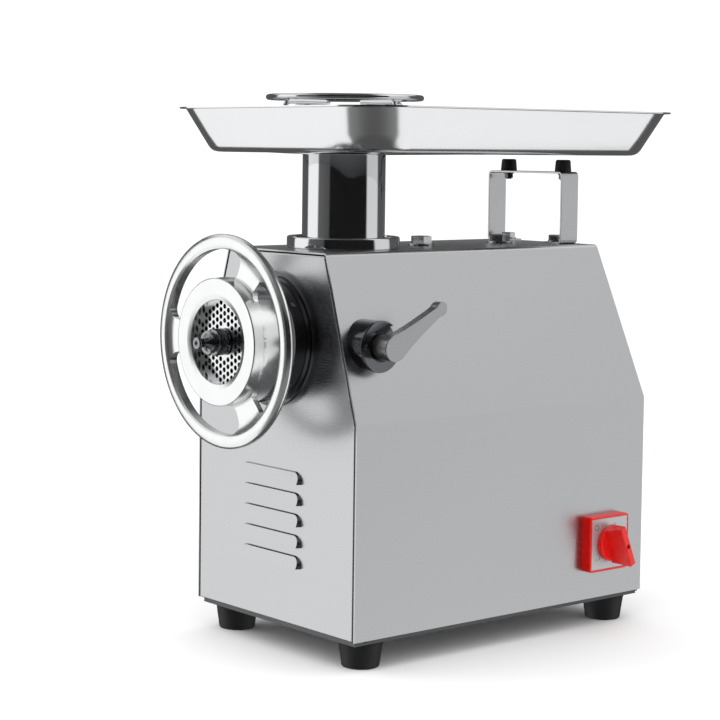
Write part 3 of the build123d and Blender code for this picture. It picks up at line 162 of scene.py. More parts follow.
def finish_material(key):
    """The procedural material of a finish, made the first time that it is asked for."""
    title, _, metallic, rough, spread, grain_mm, cloud_mm, height, tone = FINISHES[key]
    if title in bpy.data.materials:
        return bpy.data.materials[title]
    material = bpy.data.materials.new(title)
    material.use_nodes = True
    tree = material.node_tree
    tree.nodes.clear()
    base = Vector(getattr(bpy.context.scene.grinder_colours, key))
    place = add(tree, "ShaderNodeTexCoord")
    stretch = add(tree, "ShaderNodeMapping", {"Scale": [1 / (size * MM) for size in grain_mm]},
                  {"Vector": place.outputs["Object"]})
    grain = add(tree, "ShaderNodeTexNoise", {"Scale": 1.0, "Detail": 3.0, "Roughness": 0.6},
                {"Vector": stretch.outputs["Vector"]})
    clouds = add(tree, "ShaderNodeTexNoise", {"Scale": 1 / (cloud_mm * MM), "Detail": 2.0},
                 {"Vector": place.outputs["Object"]})
    both = add(tree, "ShaderNodeMath", {"operation": "ADD"},
               {0: grain.outputs["Fac"], 1: clouds.outputs["Fac"]})
    shine = add(tree, "ShaderNodeMapRange",
                {"From Min": 0.6, "From Max": 1.4, "To Min": rough - spread, "To Max": rough + spread},
                {"Value": both.outputs["Value"]})
    ramp = add(tree, "ShaderNodeValToRGB", {}, {"Fac": clouds.outputs["Fac"]})
    ramp.color_ramp.elements[0].position = 0.25
    ramp.color_ramp.elements[1].position = 0.75
    ramp.color_ramp.elements[0].color = (*(base * (1 - tone)), 1)
    ramp.color_ramp.elements[1].color = (*[min(1, c * (1 + tone)) for c in base], 1)
    fine = add(tree, "ShaderNodeBump", {"Strength": 1.0, "Distance": height * MM},
               {"Height": grain.outputs["Fac"]})
    shader = add(tree, "ShaderNodeBsdfPrincipled", {"Metallic": metallic},
                 {"Base Color": ramp.outputs["Color"], "Roughness": shine.outputs["Result"],
                  "Normal": fine.outputs["Normal"]})
    add(tree, "ShaderNodeOutputMaterial", {}, {"Surface": shader.outputs["BSDF"]})
    return material


# ---------------------------------------------------------------- mesh helpers
def spin_profile(bm, points, centre, axis, steps=96, closed=True):
    """Turns (radius, place along the axis) points once about a line through centre."""
    across = (axis + 1) % 3
    verts = []
    for radius, along in points:
        spot = Vector(centre)
        spot[axis] = along
        spot[across] += radius
        verts.append(bm.verts.new(spot))
    ends = verts[1:] + verts[:1] if closed else verts[1:]
    edges = [bm.edges.new(pair) for pair in zip(verts, ends)]
    line = Vector((0, 0, 0))
    line[axis] = 1
    bmesh.ops.spin(bm, geom=verts + edges, cent=centre, axis=line, dvec=(0, 0, 0), angle=2 * pi,
                   steps=steps, use_merge=True, use_duplicate=False)
    bmesh.ops.remove_doubles(bm, verts=bm.verts, dist=0.002 * MM)
    return bm


def in_mm(points):
    return [(a * MM, b * MM) for a, b in points]


def hexagon(bm, across_flats, low, high, x, y):
    """Hexagonal prism with its upper rim chamfered."""
    made = bmesh.ops.create_circle(bm, cap_ends=True, segments=6, radius=across_flats / sqrt(3),
                                   matrix=Matrix.Translation((x, y, low)))
    base = made["verts"][0].link_faces[0]
    out = bmesh.ops.extrude_face_region(bm, geom=[base])
    top = [item for item in out["geom"] if isinstance(item, bmesh.types.BMFace)][0]
    bmesh.ops.translate(bm, verts=top.verts, vec=(0, 0, high - low))
    bmesh.ops.bevel(bm, geom=list(top.edges), offset=across_flats * 0.05, segments=2, profile=0.5,
                    affect="EDGES", material=-1)


def make_piece(name, bm, finish, body, nodes, sharp=32.0, shell=False):
    """Turns a bmesh into a finished piece that rides on a body and stands for CAD nodes.

    A shell is open, and keeps the way that its faces point until thicken gives it a wall."""
    if not shell:
        bmesh.ops.remove_doubles(bm, verts=bm.verts, dist=0.002 * MM)
        bmesh.ops.dissolve_degenerate(bm, dist=0.001 * MM, edges=bm.edges)
        bmesh.ops.recalc_face_normals(bm, faces=bm.faces)
    for face in bm.faces:
        face.smooth = True
    for edge in bm.edges:
        edge.smooth = len(edge.link_faces) < 2 or edge.calc_face_angle(0.0) < radians(sharp)
    mesh = bpy.data.meshes.new(name)
    bm.to_mesh(mesh)
    bm.free()
    piece = bpy.data.objects.new(name, mesh)
    bpy.context.collection.objects.link(piece)
    mesh.materials.append(finish_material(finish))
    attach(piece, body)
    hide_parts(*nodes)
    return piece


def thicken(piece, thickness, offset=-1.0):
    """Gives a sheet piece its thickness, behind its outer face."""
    wall = piece.modifiers.new("thickness", "SOLIDIFY")
    wall.thickness = thickness
    wall.offset = offset
    wall.use_even_offset = True


def even_shading(piece):
    """Keeps flat faces flat beside the small faces of their rounded edges."""
    even = piece.modifiers.new("even shading", "WEIGHTED_NORMAL")
    even.keep_sharp = True


def soften(piece, width, segments=2, angle=40.0):
    """Breaks the sharp edges of a piece, then evens its shading."""
    edge = piece.modifiers.new("broken edges", "BEVEL")
    edge.width = width
    edge.segments = segments
    edge.limit_method = "ANGLE"
    edge.angle_limit = radians(angle)
    edge.harden_normals = False
    even_shading(piece)


def centre_of(node):
    low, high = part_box(node)
    return (Vector(low) + Vector(high)) / 2


# ---------------------------------------------------------------- hand wheel
class WheelSizes(bpy.types.PropertyGroup):
    """Sizes of the hand wheel that locks the grinding plate."""
    hub_radius: bpy.props.FloatProperty(
        name="Hub radius", description="Outside radius of the hub", default=60.5 * MM, unit="LENGTH")
    bore_radius: bpy.props.FloatProperty(
        name="Bore radius", description="Open radius in front of the plate", default=40.2 * MM, unit="LENGTH")
    mouth_radius: bpy.props.FloatProperty(
        name="Mouth radius", description="Radius where the bore's wide chamfer meets the face",
        default=45.5 * MM, unit="LENGTH")
    slot_outer: bpy.props.FloatProperty(
        name="Slot outer radius", description="Radius at which the slots meet the rim", default=88.0 * MM,
        unit="LENGTH")
    slot_corner: bpy.props.FloatProperty(
        name="Slot corner radius", description="Rounding of the slot corners", default=9.0 * MM,
        unit="LENGTH")
    half_spoke: bpy.props.FloatProperty(
        name="Half spoke angle", description="Half the angle that one spoke takes up", default=radians(12.0),
        subtype="ANGLE")


SLOT_COUNT = 3
WHEEL_STEPS = 192
SLOT_STEPS = 48


class GRINDER_OT_wheel(bpy.types.Operator):
    """Hand wheel: hub, dished web with three rounded slots, and a round rim"""
    bl_idname = "grinder.wheel"
    bl_label = "Hand wheel"

    def slot_tool(self, centre, sizes, front, turn):
        """Prism of one slot: a rounded rectangle of its length and width, bent round the axis."""
        inner = sizes.hub_radius + 0.5 * MM
        outer = sizes.slot_outer
        middle = (inner + outer) / 2
        half_turn = pi / SLOT_COUNT - sizes.half_spoke
        bm = bmesh.new()
        bmesh.ops.create_grid(bm, x_segments=1, y_segments=1, size=0.5)
        bmesh.ops.scale(bm, vec=(2 * half_turn * middle, outer - inner, 1), verts=bm.verts)
        bmesh.ops.bevel(bm, geom=list(bm.verts), offset=sizes.slot_corner, segments=10, profile=0.5,
                        affect="VERTICES", material=-1)
        long_edges = [edge for edge in bm.edges if edge.calc_length() > 2 * sizes.slot_corner]
        bmesh.ops.subdivide_edges(bm, edges=long_edges, cuts=SLOT_STEPS)
        out = bmesh.ops.extrude_face_region(bm, geom=list(bm.faces))
        lifted = [item for item in out["geom"] if isinstance(item, bmesh.types.BMVert)]
        bmesh.ops.translate(bm, vec=(0, 0, 16 * MM), verts=lifted)
        for vert in bm.verts:
            angle = turn + vert.co.x / middle
            radius = middle + vert.co.y
            vert.co = (centre.x + radius * cos(angle), front + 4 * MM + vert.co.z,
                       centre.z + radius * sin(angle))
        bmesh.ops.recalc_face_normals(bm, faces=bm.faces)
        mesh = bpy.data.meshes.new("slot tool")
        bm.to_mesh(mesh)
        bm.free()
        return mesh

    def execute(self, context):
        sizes = context.scene.grinder_wheel
        low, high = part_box("ring_nut")
        centre = centre_of("ring_nut")
        plate_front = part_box("grinding_plate")[0][1] / MM
        front = low[1] / MM
        rear = high[1] / MM
        rim = (high[0] - low[0]) / 2 / MM
        hub = sizes.hub_radius / MM
        bore = sizes.bore_radius / MM
        mouth = sizes.mouth_radius / MM
        web_rows = [hub + 0.6, 62.2, 64.0, 68.0, 72.0, 76.0, 80.0, 83.5, 86.0, sizes.slot_outer / MM]
        dish = [11.4, 10.4, 10.0, 10.0, 10.3, 10.6, 10.4, 9.6, 8.6, 7.4]
        profile = [(50.3, rear), (50.3, plate_front), (bore, plate_front), (bore, front + 1.6)]
        profile += [(bore + 0.4, front + 1.2), (mouth - 0.4, front + 0.1), (mouth, front), (hub - 1.4, front)]
        profile += [(hub - 0.5, front + 0.3), (hub, front + 1.0), (hub, front + 10.4)]
        profile += [(row, front + depth) for row, depth in zip(web_rows, dish)]
        profile += [(89.6, front + 6.3), (91.4, front + 5.7), (94.0, front + 5.5), (97.0, front + 5.8)]
        profile += [(99.4, front + 6.6), (rim - 0.9, front + 8.0), (rim, front + 10.0),
                    (rim - 0.3, front + 12.4)]
        profile += [(rim - 1.5, front + 13.9), (97.5, front + 14.4), (93.0, front + 14.5),
                    (90.5, front + 15.2)]
        profile += [(row, front + 16.0) for row in reversed(web_rows)]
        profile += [(hub, front + 16.4), (hub, rear - 1.0), (hub - 1.0, rear)]
        bm = bmesh.new()
        spin_profile(bm, in_mm(profile), centre, 1, WHEEL_STEPS)
        bmesh.ops.recalc_face_normals(bm, faces=bm.faces)
        blank = bpy.data.objects.new("wheel blank", bpy.data.meshes.new("wheel blank"))
        bm.to_mesh(blank.data)
        bm.free()
        bpy.context.collection.objects.link(blank)
        tools = []
        for index in range(SLOT_COUNT):
            mesh = self.slot_tool(centre, sizes, low[1], 2 * pi / SLOT_COUNT * index)
            tool = bpy.data.objects.new("slot tool", mesh)
            bpy.context.collection.objects.link(tool)
            cut = blank.modifiers.new("slot", "BOOLEAN")
            cut.operation = "DIFFERENCE"
            cut.solver = "EXACT"
            cut.object = tool
            tools.append(tool)
        bpy.context.view_layer.update()
        mesh = bpy.data.meshes.new_from_object(blank.evaluated_get(context.evaluated_depsgraph_get()))
        for tool in (*tools, blank):
            bpy.data.objects.remove(tool)
        bm = bmesh.new()
        bm.from_mesh(mesh)
        bpy.data.meshes.remove(mesh)
        bmesh.ops.remove_doubles(bm, verts=bm.verts, dist=0.02 * MM)
        wheel = make_piece("hand_wheel", bm, "wheel_casting", "ring_nut", ["ring_nut"], sharp=45.0)
        soften(wheel, 0.7 * MM, angle=60.0)
        return {"FINISHED"}


class GRINDER_OT_stud(bpy.types.Operator):
    """Stud in the auger nose: boss, flared collar, stem and a centre-drilled tip"""
    bl_idname = "grinder.stud"
    bl_label = "Auger stud"

    def execute(self, context):
        low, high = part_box("auger_stud")
        centre = centre_of("auger_stud")
        back = high[1] / MM
        tip = low[1] / MM
        profile = [(0, back), (12.3, back), (12.8, back - 0.6), (12.8, tip + 19.9), (12.3, tip + 18.9)]
        profile += [(10.2, tip + 17.9), (10.0, tip + 16.1), (11.4, tip + 14.3), (11.5, tip + 13.3)]
        profile += [(11.0, tip + 12.7), (8.6, tip + 13.3), (7.6, tip + 12.5), (5.6, tip + 11.1)]
        profile += [(4.4, tip + 9.1), (4.0, tip + 7.0), (4.0, tip + 5.3), (4.6, tip + 4.5)]
        profile += [(5.6, tip + 4.1), (5.9, tip + 3.5), (5.9, tip + 0.8), (5.2, tip), (2.6, tip)]
        profile += [(2.2, tip + 0.4), (0, tip + 3.2)]
        bm = bmesh.new()
        spin_profile(bm, in_mm(profile), centre, 1, 64, closed=False)
        make_piece("auger_nose_stud", bm, "stud_steel", "auger_drive", ["auger_stud"])
        return {"FINISHED"}


# ---------------------------------------------------------------- feed tube and tray
class FeedSizes(bpy.types.PropertyGroup):
    """Sizes of the feed tube, the tray and the finger guard."""
    tube_wall: bpy.props.FloatProperty(
        name="Tube wall", description="Wall thickness of the feed tube", default=2.2 * MM, unit="LENGTH")
    tray_sheet: bpy.props.FloatProperty(
        name="Tray sheet", description="Thickness of the tray sheet", default=1.5 * MM, unit="LENGTH")
    tray_lip: bpy.props.FloatProperty(
        name="Tray lip", description="Width of the flat lip round the tray", default=6.0 * MM, unit="LENGTH")
    corner_radius: bpy.props.FloatProperty(
        name="Tray corner radius", description="Rounding of the outer lip corners", default=55.0 * MM,
        unit="LENGTH")
    spout_radius: bpy.props.FloatProperty(
        name="Spout radius", description="Outside radius of the spout under the tray", default=38.3 * MM,
        unit="LENGTH")
    guard_rod: bpy.props.FloatProperty(
        name="Guard ring rod", description="Radius of the rod of the guard ring", default=2.8 * MM,
        unit="LENGTH")
    guard_leg: bpy.props.FloatProperty(
        name="Guard leg rod", description="Radius of the bent rods under the guard ring", default=2.4 * MM,
        unit="LENGTH")


class GRINDER_OT_feed_tube(bpy.types.Operator):
    """Feed tube and the turned flange that holds it to the cabinet top"""
    bl_idname = "grinder.feed_tube"
    bl_label = "Feed tube and flange"

    def execute(self, context):
        sizes = context.scene.grinder_feed
        low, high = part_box("feed_tube")
        centre = centre_of("feed_tube")
        outer = (high[0] - low[0]) / 2 / MM
        inner = outer - sizes.tube_wall / MM
        bottom = low[2] / MM
        top = high[2] / MM
        tube = [(outer, bottom), (outer, top - 1.1), (outer - 0.2, top - 0.5), (outer - 0.7, top - 0.1)]
        tube += [(outer - 1.1, top), (inner + 0.6, top), (inner + 0.1, top - 0.3), (inner, top - 0.9),
                 (inner, bottom)]
        bm = bmesh.new()
        spin_profile(bm, in_mm(tube), centre, 2, 128)
        make_piece("feed_pipe", bm, "polished_steel", "cabinet", ["feed_tube"])

        low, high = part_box("feed_flange")
        radius = (high[0] - low[0]) / 2 / MM
        bottom = low[2] / MM
        top = high[2] / MM
        ring = [(outer + 0.1, bottom), (radius - 0.5, bottom), (radius, bottom + 0.5), (radius, top - 1.5)]
        ring += [(radius - 0.4, top - 0.6), (radius - 1.2, top), (radius - 3.0, top),
                 (radius - 3.6, top - 0.4)]
        ring += [(radius - 4.0, top - 1.6), (radius - 4.8, top - 2.0), (outer + 1.6, top - 2.0)]
        ring += [(outer + 0.6, top - 1.6), (outer + 0.1, top - 0.8)]
        bm = bmesh.new()
        spin_profile(bm, in_mm(ring), centre, 2, 128)
        make_piece("feed_pipe_flange", bm, "polished_steel", "cabinet", ["feed_flange"])
        return {"FINISHED"}


class GRINDER_OT_tray(bpy.types.Operator):
    """Pressed tray with flared walls, a flat lip and the spout that drops into the feed tube"""
    bl_idname = "grinder.tray"
    bl_label = "Feed tray"

    def sink_floor(self, bm, floor, middle, inwards, down):
        """Draws the floor one ring deeper; each corner moves as a whole, so its radius stays."""
        out = bmesh.ops.extrude_face_region(bm, geom=[floor])
        sunk = [item for item in out["geom"] if isinstance(item, bmesh.types.BMFace)][0]
        for side in (-1, 1):
            for end in (-1, 1):
                corner = [vert for vert in sunk.verts if (vert.co.x - middle.x) *
                          side > 0 and (vert.co.y - middle.y) * end > 0]
                bmesh.ops.translate(bm, verts=corner, vec=(-side * inwards, -end * inwards, -down))
        return sunk

    def execute(self, context):
        sizes = context.scene.grinder_feed
        low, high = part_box("tray")
        middle = centre_of("tray")
        spout_low, spout_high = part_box("tray_spout")
        spout = centre_of("tray_spout")
        lip_z = high[2] - sizes.tray_sheet
        depth = (lip_z - low[2]) / MM
        bm = bmesh.new()
        bmesh.ops.create_grid(bm, x_segments=1, y_segments=1, size=0.5)
        bmesh.ops.scale(bm, vec=(high[0] - low[0], high[1] - low[1], 1), verts=bm.verts)
        bmesh.ops.translate(bm, vec=(middle.x, middle.y, lip_z), verts=bm.verts)
        bmesh.ops.bevel(bm, geom=list(bm.verts), offset=sizes.corner_radius, segments=18, profile=0.5,
                        affect="VERTICES", material=-1)
        floor = max(bm.faces, key=lambda face: face.calc_area())
        # Each step runs inwards and then down, from the lip over the flared wall to the rounded foot.
        flare = 16.4 / (depth - 6.0)
        steps = [(0.7, 0.2), (0.5, 0.7)]
        steps += [((depth - 6.9) * flare / 3, (depth - 6.9) / 3)] * 3
        steps += [(1.3, 2.3), (1.5, 1.7), (1.8, 1.2), (2.2, 0.6), (3.0, 0.2)]
        bmesh.ops.inset_individual(bm, faces=[floor], thickness=sizes.tray_lip - 0.8 * MM, depth=0,
                                   use_even_offset=True)
        for inwards, down in steps:
            floor = self.sink_floor(bm, floor, middle, inwards * MM, down * MM)
        drop = min(vert.co.z for vert in floor.verts) - low[2]
        bmesh.ops.translate(bm, verts=floor.verts, vec=(0, 0, -drop))
        edge_loop = list(floor.edges)
        bmesh.ops.delete(bm, geom=[floor], context="FACES_ONLY")
        hole = bmesh.ops.create_circle(bm, cap_ends=False, segments=96, radius=sizes.spout_radius,
                                       matrix=Matrix.Translation((spout.x, spout.y, low[2])))
        mouth = list({edge for vert in hole["verts"] for edge in vert.link_edges})
        bmesh.ops.bridge_loops(bm, edges=edge_loop + mouth)
        out = bmesh.ops.extrude_edge_only(bm, edges=mouth)
        bottom = [item for item in out["geom"] if isinstance(item, bmesh.types.BMVert)]
        bmesh.ops.translate(bm, verts=bottom, vec=(0, 0, spout_low[2] - low[2]))
        bmesh.ops.bevel(bm, geom=mouth, offset=1.6 * MM, segments=3, profile=0.5, affect="EDGES", material=-1)
        bmesh.ops.recalc_face_normals(bm, faces=bm.faces)
        lip = max(bm.faces, key=lambda face: face.calc_center_median().z)
        if lip.normal.z > 0:
            bmesh.ops.reverse_faces(bm, faces=bm.faces)
        tray = make_piece("feed_tray", bm, "tray_sheet", "tray", ["tray", "tray_spout"], sharp=50.0,
                          shell=True)
        thicken(tray, sizes.tray_sheet)
        soften(tray, 0.35 * MM, angle=60.0)
        return {"FINISHED"}


class GRINDER_OT_guard(bpy.types.Operator):
    """Finger guard: a polished rod ring on four bent rods"""
    bl_idname = "grinder.guard"
    bl_label = "Finger guard"

    def bent_rod(self, bm, radius, reach, free, low, high, bend):
        """Rod that stands at reach, bends inwards through a quarter turn and ends at free."""
        section = bmesh.ops.create_circle(bm, cap_ends=True, segments=16, radius=radius,
                                          matrix=Matrix.Translation((reach, 0, low)))
        end = section["verts"][0].link_faces[0]
        made = set(section["verts"])
        out = bmesh.ops.extrude_face_region(bm, geom=[end])
        geom = out["geom"]
        bmesh.ops.translate(bm, verts=[v for v in geom if isinstance(v, bmesh.types.BMVert)],
                            vec=(0, 0, high - bend - low))
        made |= {v for v in geom if isinstance(v, bmesh.types.BMVert)}
        top = [f for f in geom if isinstance(f, bmesh.types.BMFace)]
        before = set(bm.verts)
        out = bmesh.ops.spin(bm, geom=top, cent=(reach - bend, 0, high - bend), axis=(0, -1, 0),
                             dvec=(0, 0, 0),
                             angle=pi / 2, steps=8, use_merge=False, use_duplicate=False)
        made |= set(bm.verts) - before
        end = [f for f in out["geom_last"] if isinstance(f, bmesh.types.BMFace)]
        before = set(bm.verts)
        out = bmesh.ops.extrude_face_region(bm, geom=end)
        moved = [v for v in out["geom"] if isinstance(v, bmesh.types.BMVert)]
        bmesh.ops.translate(bm, verts=moved, vec=(free - (reach - bend), 0, 0))
        made |= set(bm.verts) - before
        return [vert for vert in made if vert.is_valid]

    def execute(self, context):
        sizes = context.scene.grinder_feed
        ring = centre_of("guard_ring")
        low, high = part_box("guard_ring")
        reach = (high[0] - low[0]) / 2 - sizes.guard_rod
        bm = bmesh.new()
        turn = Matrix.Translation((ring.x + reach, ring.y, ring.z)) @ Matrix.Rotation(pi / 2, 4, "X")
        rod = bmesh.ops.create_circle(bm, cap_ends=False, segments=20, radius=sizes.guard_rod, matrix=turn)
        rod_edges = list({edge for vert in rod["verts"] for edge in vert.link_edges})
        bmesh.ops.spin(bm, geom=rod["verts"] + rod_edges, cent=ring, axis=(0, 0, 1), dvec=(0, 0, 0),
                       angle=2 * pi, steps=128, use_merge=True, use_duplicate=False)
        make_piece("guard_hoop", bm, "polished_steel", "tray", ["guard_ring"])

        low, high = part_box("guard_legs")
        bm = bmesh.new()
        for quarter in range(4):
            verts = self.bent_rod(bm, sizes.guard_leg, reach, 25.0 * MM, low[2], high[2] - sizes.guard_leg,
                                  6.0 * MM)
            bmesh.ops.rotate(bm, verts=verts, cent=(0, 0, 0),
                             matrix=Matrix.Rotation(quarter * pi / 2, 3, "Z"))
            bmesh.ops.translate(bm, verts=verts, vec=(ring.x, ring.y, 0))
        make_piece("guard_rods", bm, "polished_steel", "tray", ["guard_legs"])
        return {"FINISHED"}


# ---------------------------------------------------------------- top hardware
class HardwareSizes(bpy.types.PropertyGroup):
    """Sizes of the bolts, the bracket strap and the rubber parts."""
    bolt_flats: bpy.props.FloatProperty(
        name="Bolt across flats", description="Width of the large hexagon heads", default=19.0 * MM,
        unit="LENGTH")
    screw_flats: bpy.props.FloatProperty(
        name="Strap screw across flats", description="Width of the hexagon heads on the strap feet",
        default=13.0 * MM, unit="LENGTH")
    washer_radius: bpy.props.FloatProperty(
        name="Strap washer radius", description="Radius of the washers on the strap feet", default=8.0 * MM,
        unit="LENGTH")
    strap_sheet: bpy.props.FloatProperty(
        name="Strap thickness", description="Thickness of the bracket strap", default=2.0 * MM, unit="LENGTH")
    strap_foot: bpy.props.FloatProperty(
        name="Strap foot", description="Length of each foot of the strap", default=27.0 * MM, unit="LENGTH")
    bumper_radius: bpy.props.FloatProperty(
        name="Bumper radius", description="Radius of a bumper where it meets the strap", default=8.6 * MM,
        unit="LENGTH")
    foot_radius: bpy.props.FloatProperty(
        name="Foot radius", description="Radius of a rubber foot at its top", default=21.7 * MM,
        unit="LENGTH")
    foot_recess: bpy.props.FloatProperty(
        name="Foot recess", description="Radius of the screw recess under a foot", default=7.5 * MM,
        unit="LENGTH")


class GRINDER_OT_top_bolts(bpy.types.Operator):
    """Two large hexagon bolts on flat washers that hold the gearbox to the cabinet top"""
    bl_idname = "grinder.top_bolts"
    bl_label = "Top bolts and washers"

    def execute(self, context):
        sizes = context.scene.grinder_hardware
        low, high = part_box("top_bolts")
        washer_low, washer_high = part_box("top_washers")
        radius = (washer_high[0] - washer_low[0]) / 2
        head_half = sizes.bolt_flats / 2
        places = (low[1] + head_half * 2 / sqrt(3), high[1] - head_half * 2 / sqrt(3))
        if high[0] - low[0] > 2 * head_half + 1.0 * MM:
            places = (low[1] + head_half, high[1] - head_half)
        bm = bmesh.new()
        for y in places:
            hexagon(bm, sizes.bolt_flats, washer_high[2], high[2], centre_of("top_bolts").x, y)
            shank = [(0, low[2]), (6.0 * MM, low[2]), (6.0 * MM, washer_high[2]), (0, washer_high[2])]
            spin_profile(bm, shank, (centre_of("top_bolts").x, y, 0), 2, 32, closed=False)
        make_piece("gearbox_bolts", bm, "stainless_fasteners", "cabinet", ["top_bolts"])
        bottom = washer_low[2] / MM
        top = washer_high[2] / MM
        outer = radius / MM
        ring = [(6.3, bottom), (outer - 0.3, bottom), (outer, bottom + 0.4), (outer, top - 0.6),
                (outer - 0.5, top)]
        ring += [(6.3, top)]
        bm = bmesh.new()
        for y in places:
            spin_profile(bm, in_mm(ring), (centre_of("top_washers").x, y, 0), 2, 64)
        make_piece("gearbox_washers", bm, "stainless_fasteners", "cabinet", ["top_washers"])
        return {"FINISHED"}


class GRINDER_OT_bracket(bpy.types.Operator):
    """Bent strap that steadies the tray, with its two rubber bumpers and hexagon screws"""
    bl_idname = "grinder.bracket"
    bl_label = "Tray bracket"

    def execute(self, context):
        sizes = context.scene.grinder_hardware
        low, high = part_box("tray_bracket")
        half = (high[0] - low[0]) / 2
        foot = half - sizes.strap_foot
        corners = [(foot, low[2]), (half, low[2]), (half, high[2]), (-half, high[2]), (-half, low[2]),
                   (-foot, low[2])]
        bm = bmesh.new()
        verts = [bm.verts.new((x, low[1], z)) for x, z in corners]
        edges = [bm.edges.new(pair) for pair in zip(verts, verts[1:])]
        out = bmesh.ops.extrude_edge_only(bm, edges=edges)
        moved = [item for item in out["geom"] if isinstance(item, bmesh.types.BMVert)]
        bmesh.ops.translate(bm, verts=moved, vec=(0, high[1] - low[1], 0))
        folds = [edge for edge in bm.edges if len(edge.link_faces) == 2]
        bmesh.ops.bevel(bm, geom=folds, offset=4.5 * MM, segments=6, profile=0.5, affect="EDGES", material=-1)
        bmesh.ops.recalc_face_normals(bm, faces=bm.faces)
        top = max(bm.faces, key=lambda face: face.calc_center_median().z)
        if top.normal.z < 0:
            bmesh.ops.reverse_faces(bm, faces=bm.faces)
        strap = make_piece("tray_strap", bm, "strap_sheet", "cabinet", ["tray_bracket"], sharp=50.0,
                           shell=True)
        thicken(strap, sizes.strap_sheet)
        soften(strap, 0.3 * MM, angle=50.0)

        low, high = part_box("tray_bumpers")
        strap_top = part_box("tray_bracket")[1][2]
        big = sizes.bumper_radius
        small = big - 0.9 * MM
        profile = [(0, low[2]), (3.0 * MM, low[2]), (3.0 * MM, strap_top), (big - 0.3 * MM, strap_top)]
        profile += [(big, strap_top + 0.4 * MM), (big, strap_top + 1.6 * MM),
                    (small + 0.1 * MM, high[2] - 1.6 * MM)]
        profile += [(small - 0.4 * MM, high[2] - 0.5 * MM), (small - 1.5 * MM, high[2]), (0, high[2])]
        bm = bmesh.new()
        for x in (low[0] + big, high[0] - big):
            spin_profile(bm, profile, (x, centre_of("tray_bumpers").y, 0), 2, 48, closed=False)
        make_piece("strap_bumpers", bm, "black_rubber", "cabinet", ["tray_bumpers"])

        low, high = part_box("bracket_bolts")
        washer_r = sizes.washer_radius
        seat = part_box("tray_bracket")[0][2] + sizes.strap_sheet
        washer_top = seat + 1.4 * MM
        y = centre_of("bracket_bolts").y
        washer = [(0, seat), (washer_r - 0.2 * MM, seat), (washer_r, seat + 0.3 * MM)]
        washer += [(washer_r, washer_top - 0.3 * MM), (washer_r - 0.3 * MM, washer_top), (0, washer_top)]
        shank = [(0, low[2]), (4.0 * MM, low[2]), (4.0 * MM, seat), (0, seat)]
        bm = bmesh.new()
        for x in (low[0] + washer_r, high[0] - washer_r):
            hexagon(bm, sizes.screw_flats, washer_top, high[2], x, y)
            spin_profile(bm, washer, (x, y, 0), 2, 40, closed=False)
            spin_profile(bm, shank, (x, y, 0), 2, 24, closed=False)
        make_piece("strap_screws", bm, "stainless_fasteners", "cabinet", ["bracket_bolts"])
        return {"FINISHED"}


class GRINDER_OT_feet(bpy.types.Operator):
    """Four tapered rubber feet with a moulded bead and a screw recess"""
    bl_idname = "grinder.feet"
    bl_label = "Rubber feet"

    def execute(self, context):
        sizes = context.scene.grinder_hardware
        low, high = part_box("rubber_feet")
        radius = sizes.foot_radius
        top = high[2] / MM
        outer = radius / MM
        recess = sizes.foot_recess / MM
        profile = [(3.1, top), (outer - 0.8, top), (outer, top - 0.8), (outer - 0.1, top - 2.4),
                   (outer - 0.5, top - 2.9)]
        profile += [(outer - 0.7, top - 3.8), (outer - 3.4, 2.6), (outer - 3.7, 1.2), (outer - 4.5, 0.3)]
        profile += [(outer - 5.8, 0), (recess + 0.8, 0), (recess, 0.7), (recess, 9.0), (6.2, 9.0),
                    (6.2, 14.0), (3.1, 14.0)]
        bm = bmesh.new()
        for x in (low[0] + radius, high[0] - radius):
            for y in (low[1] + radius, high[1] - radius):
                spin_profile(bm, in_mm(profile), (x, y, 0), 2, 64)
        make_piece("moulded_feet", bm, "black_rubber", "cabinet", ["rubber_feet"])
        return {"FINISHED"}


# ---------------------------------------------------------------- clamp lever
class LeverSizes(bpy.types.PropertyGroup):
    """Sizes of the clamp lever."""
    angle: bpy.props.FloatProperty(
        name="Lever angle", description="Rise of the arm above level at rest", default=radians(31.0),
        subtype="ANGLE")
    reach: bpy.props.FloatProperty(
        name="Arm length", description="From the screw axis to the middle of the tip", default=67.0 * MM,
        unit="LENGTH")
    thickness: bpy.props.FloatProperty(
        name="Arm thickness", description="Thickness of the arm", default=9.6 * MM, unit="LENGTH")
    hub_radius: bpy.props.FloatProperty(
        name="Lever hub radius", description="Radius of the lever hub", default=12.4 * MM, unit="LENGTH")


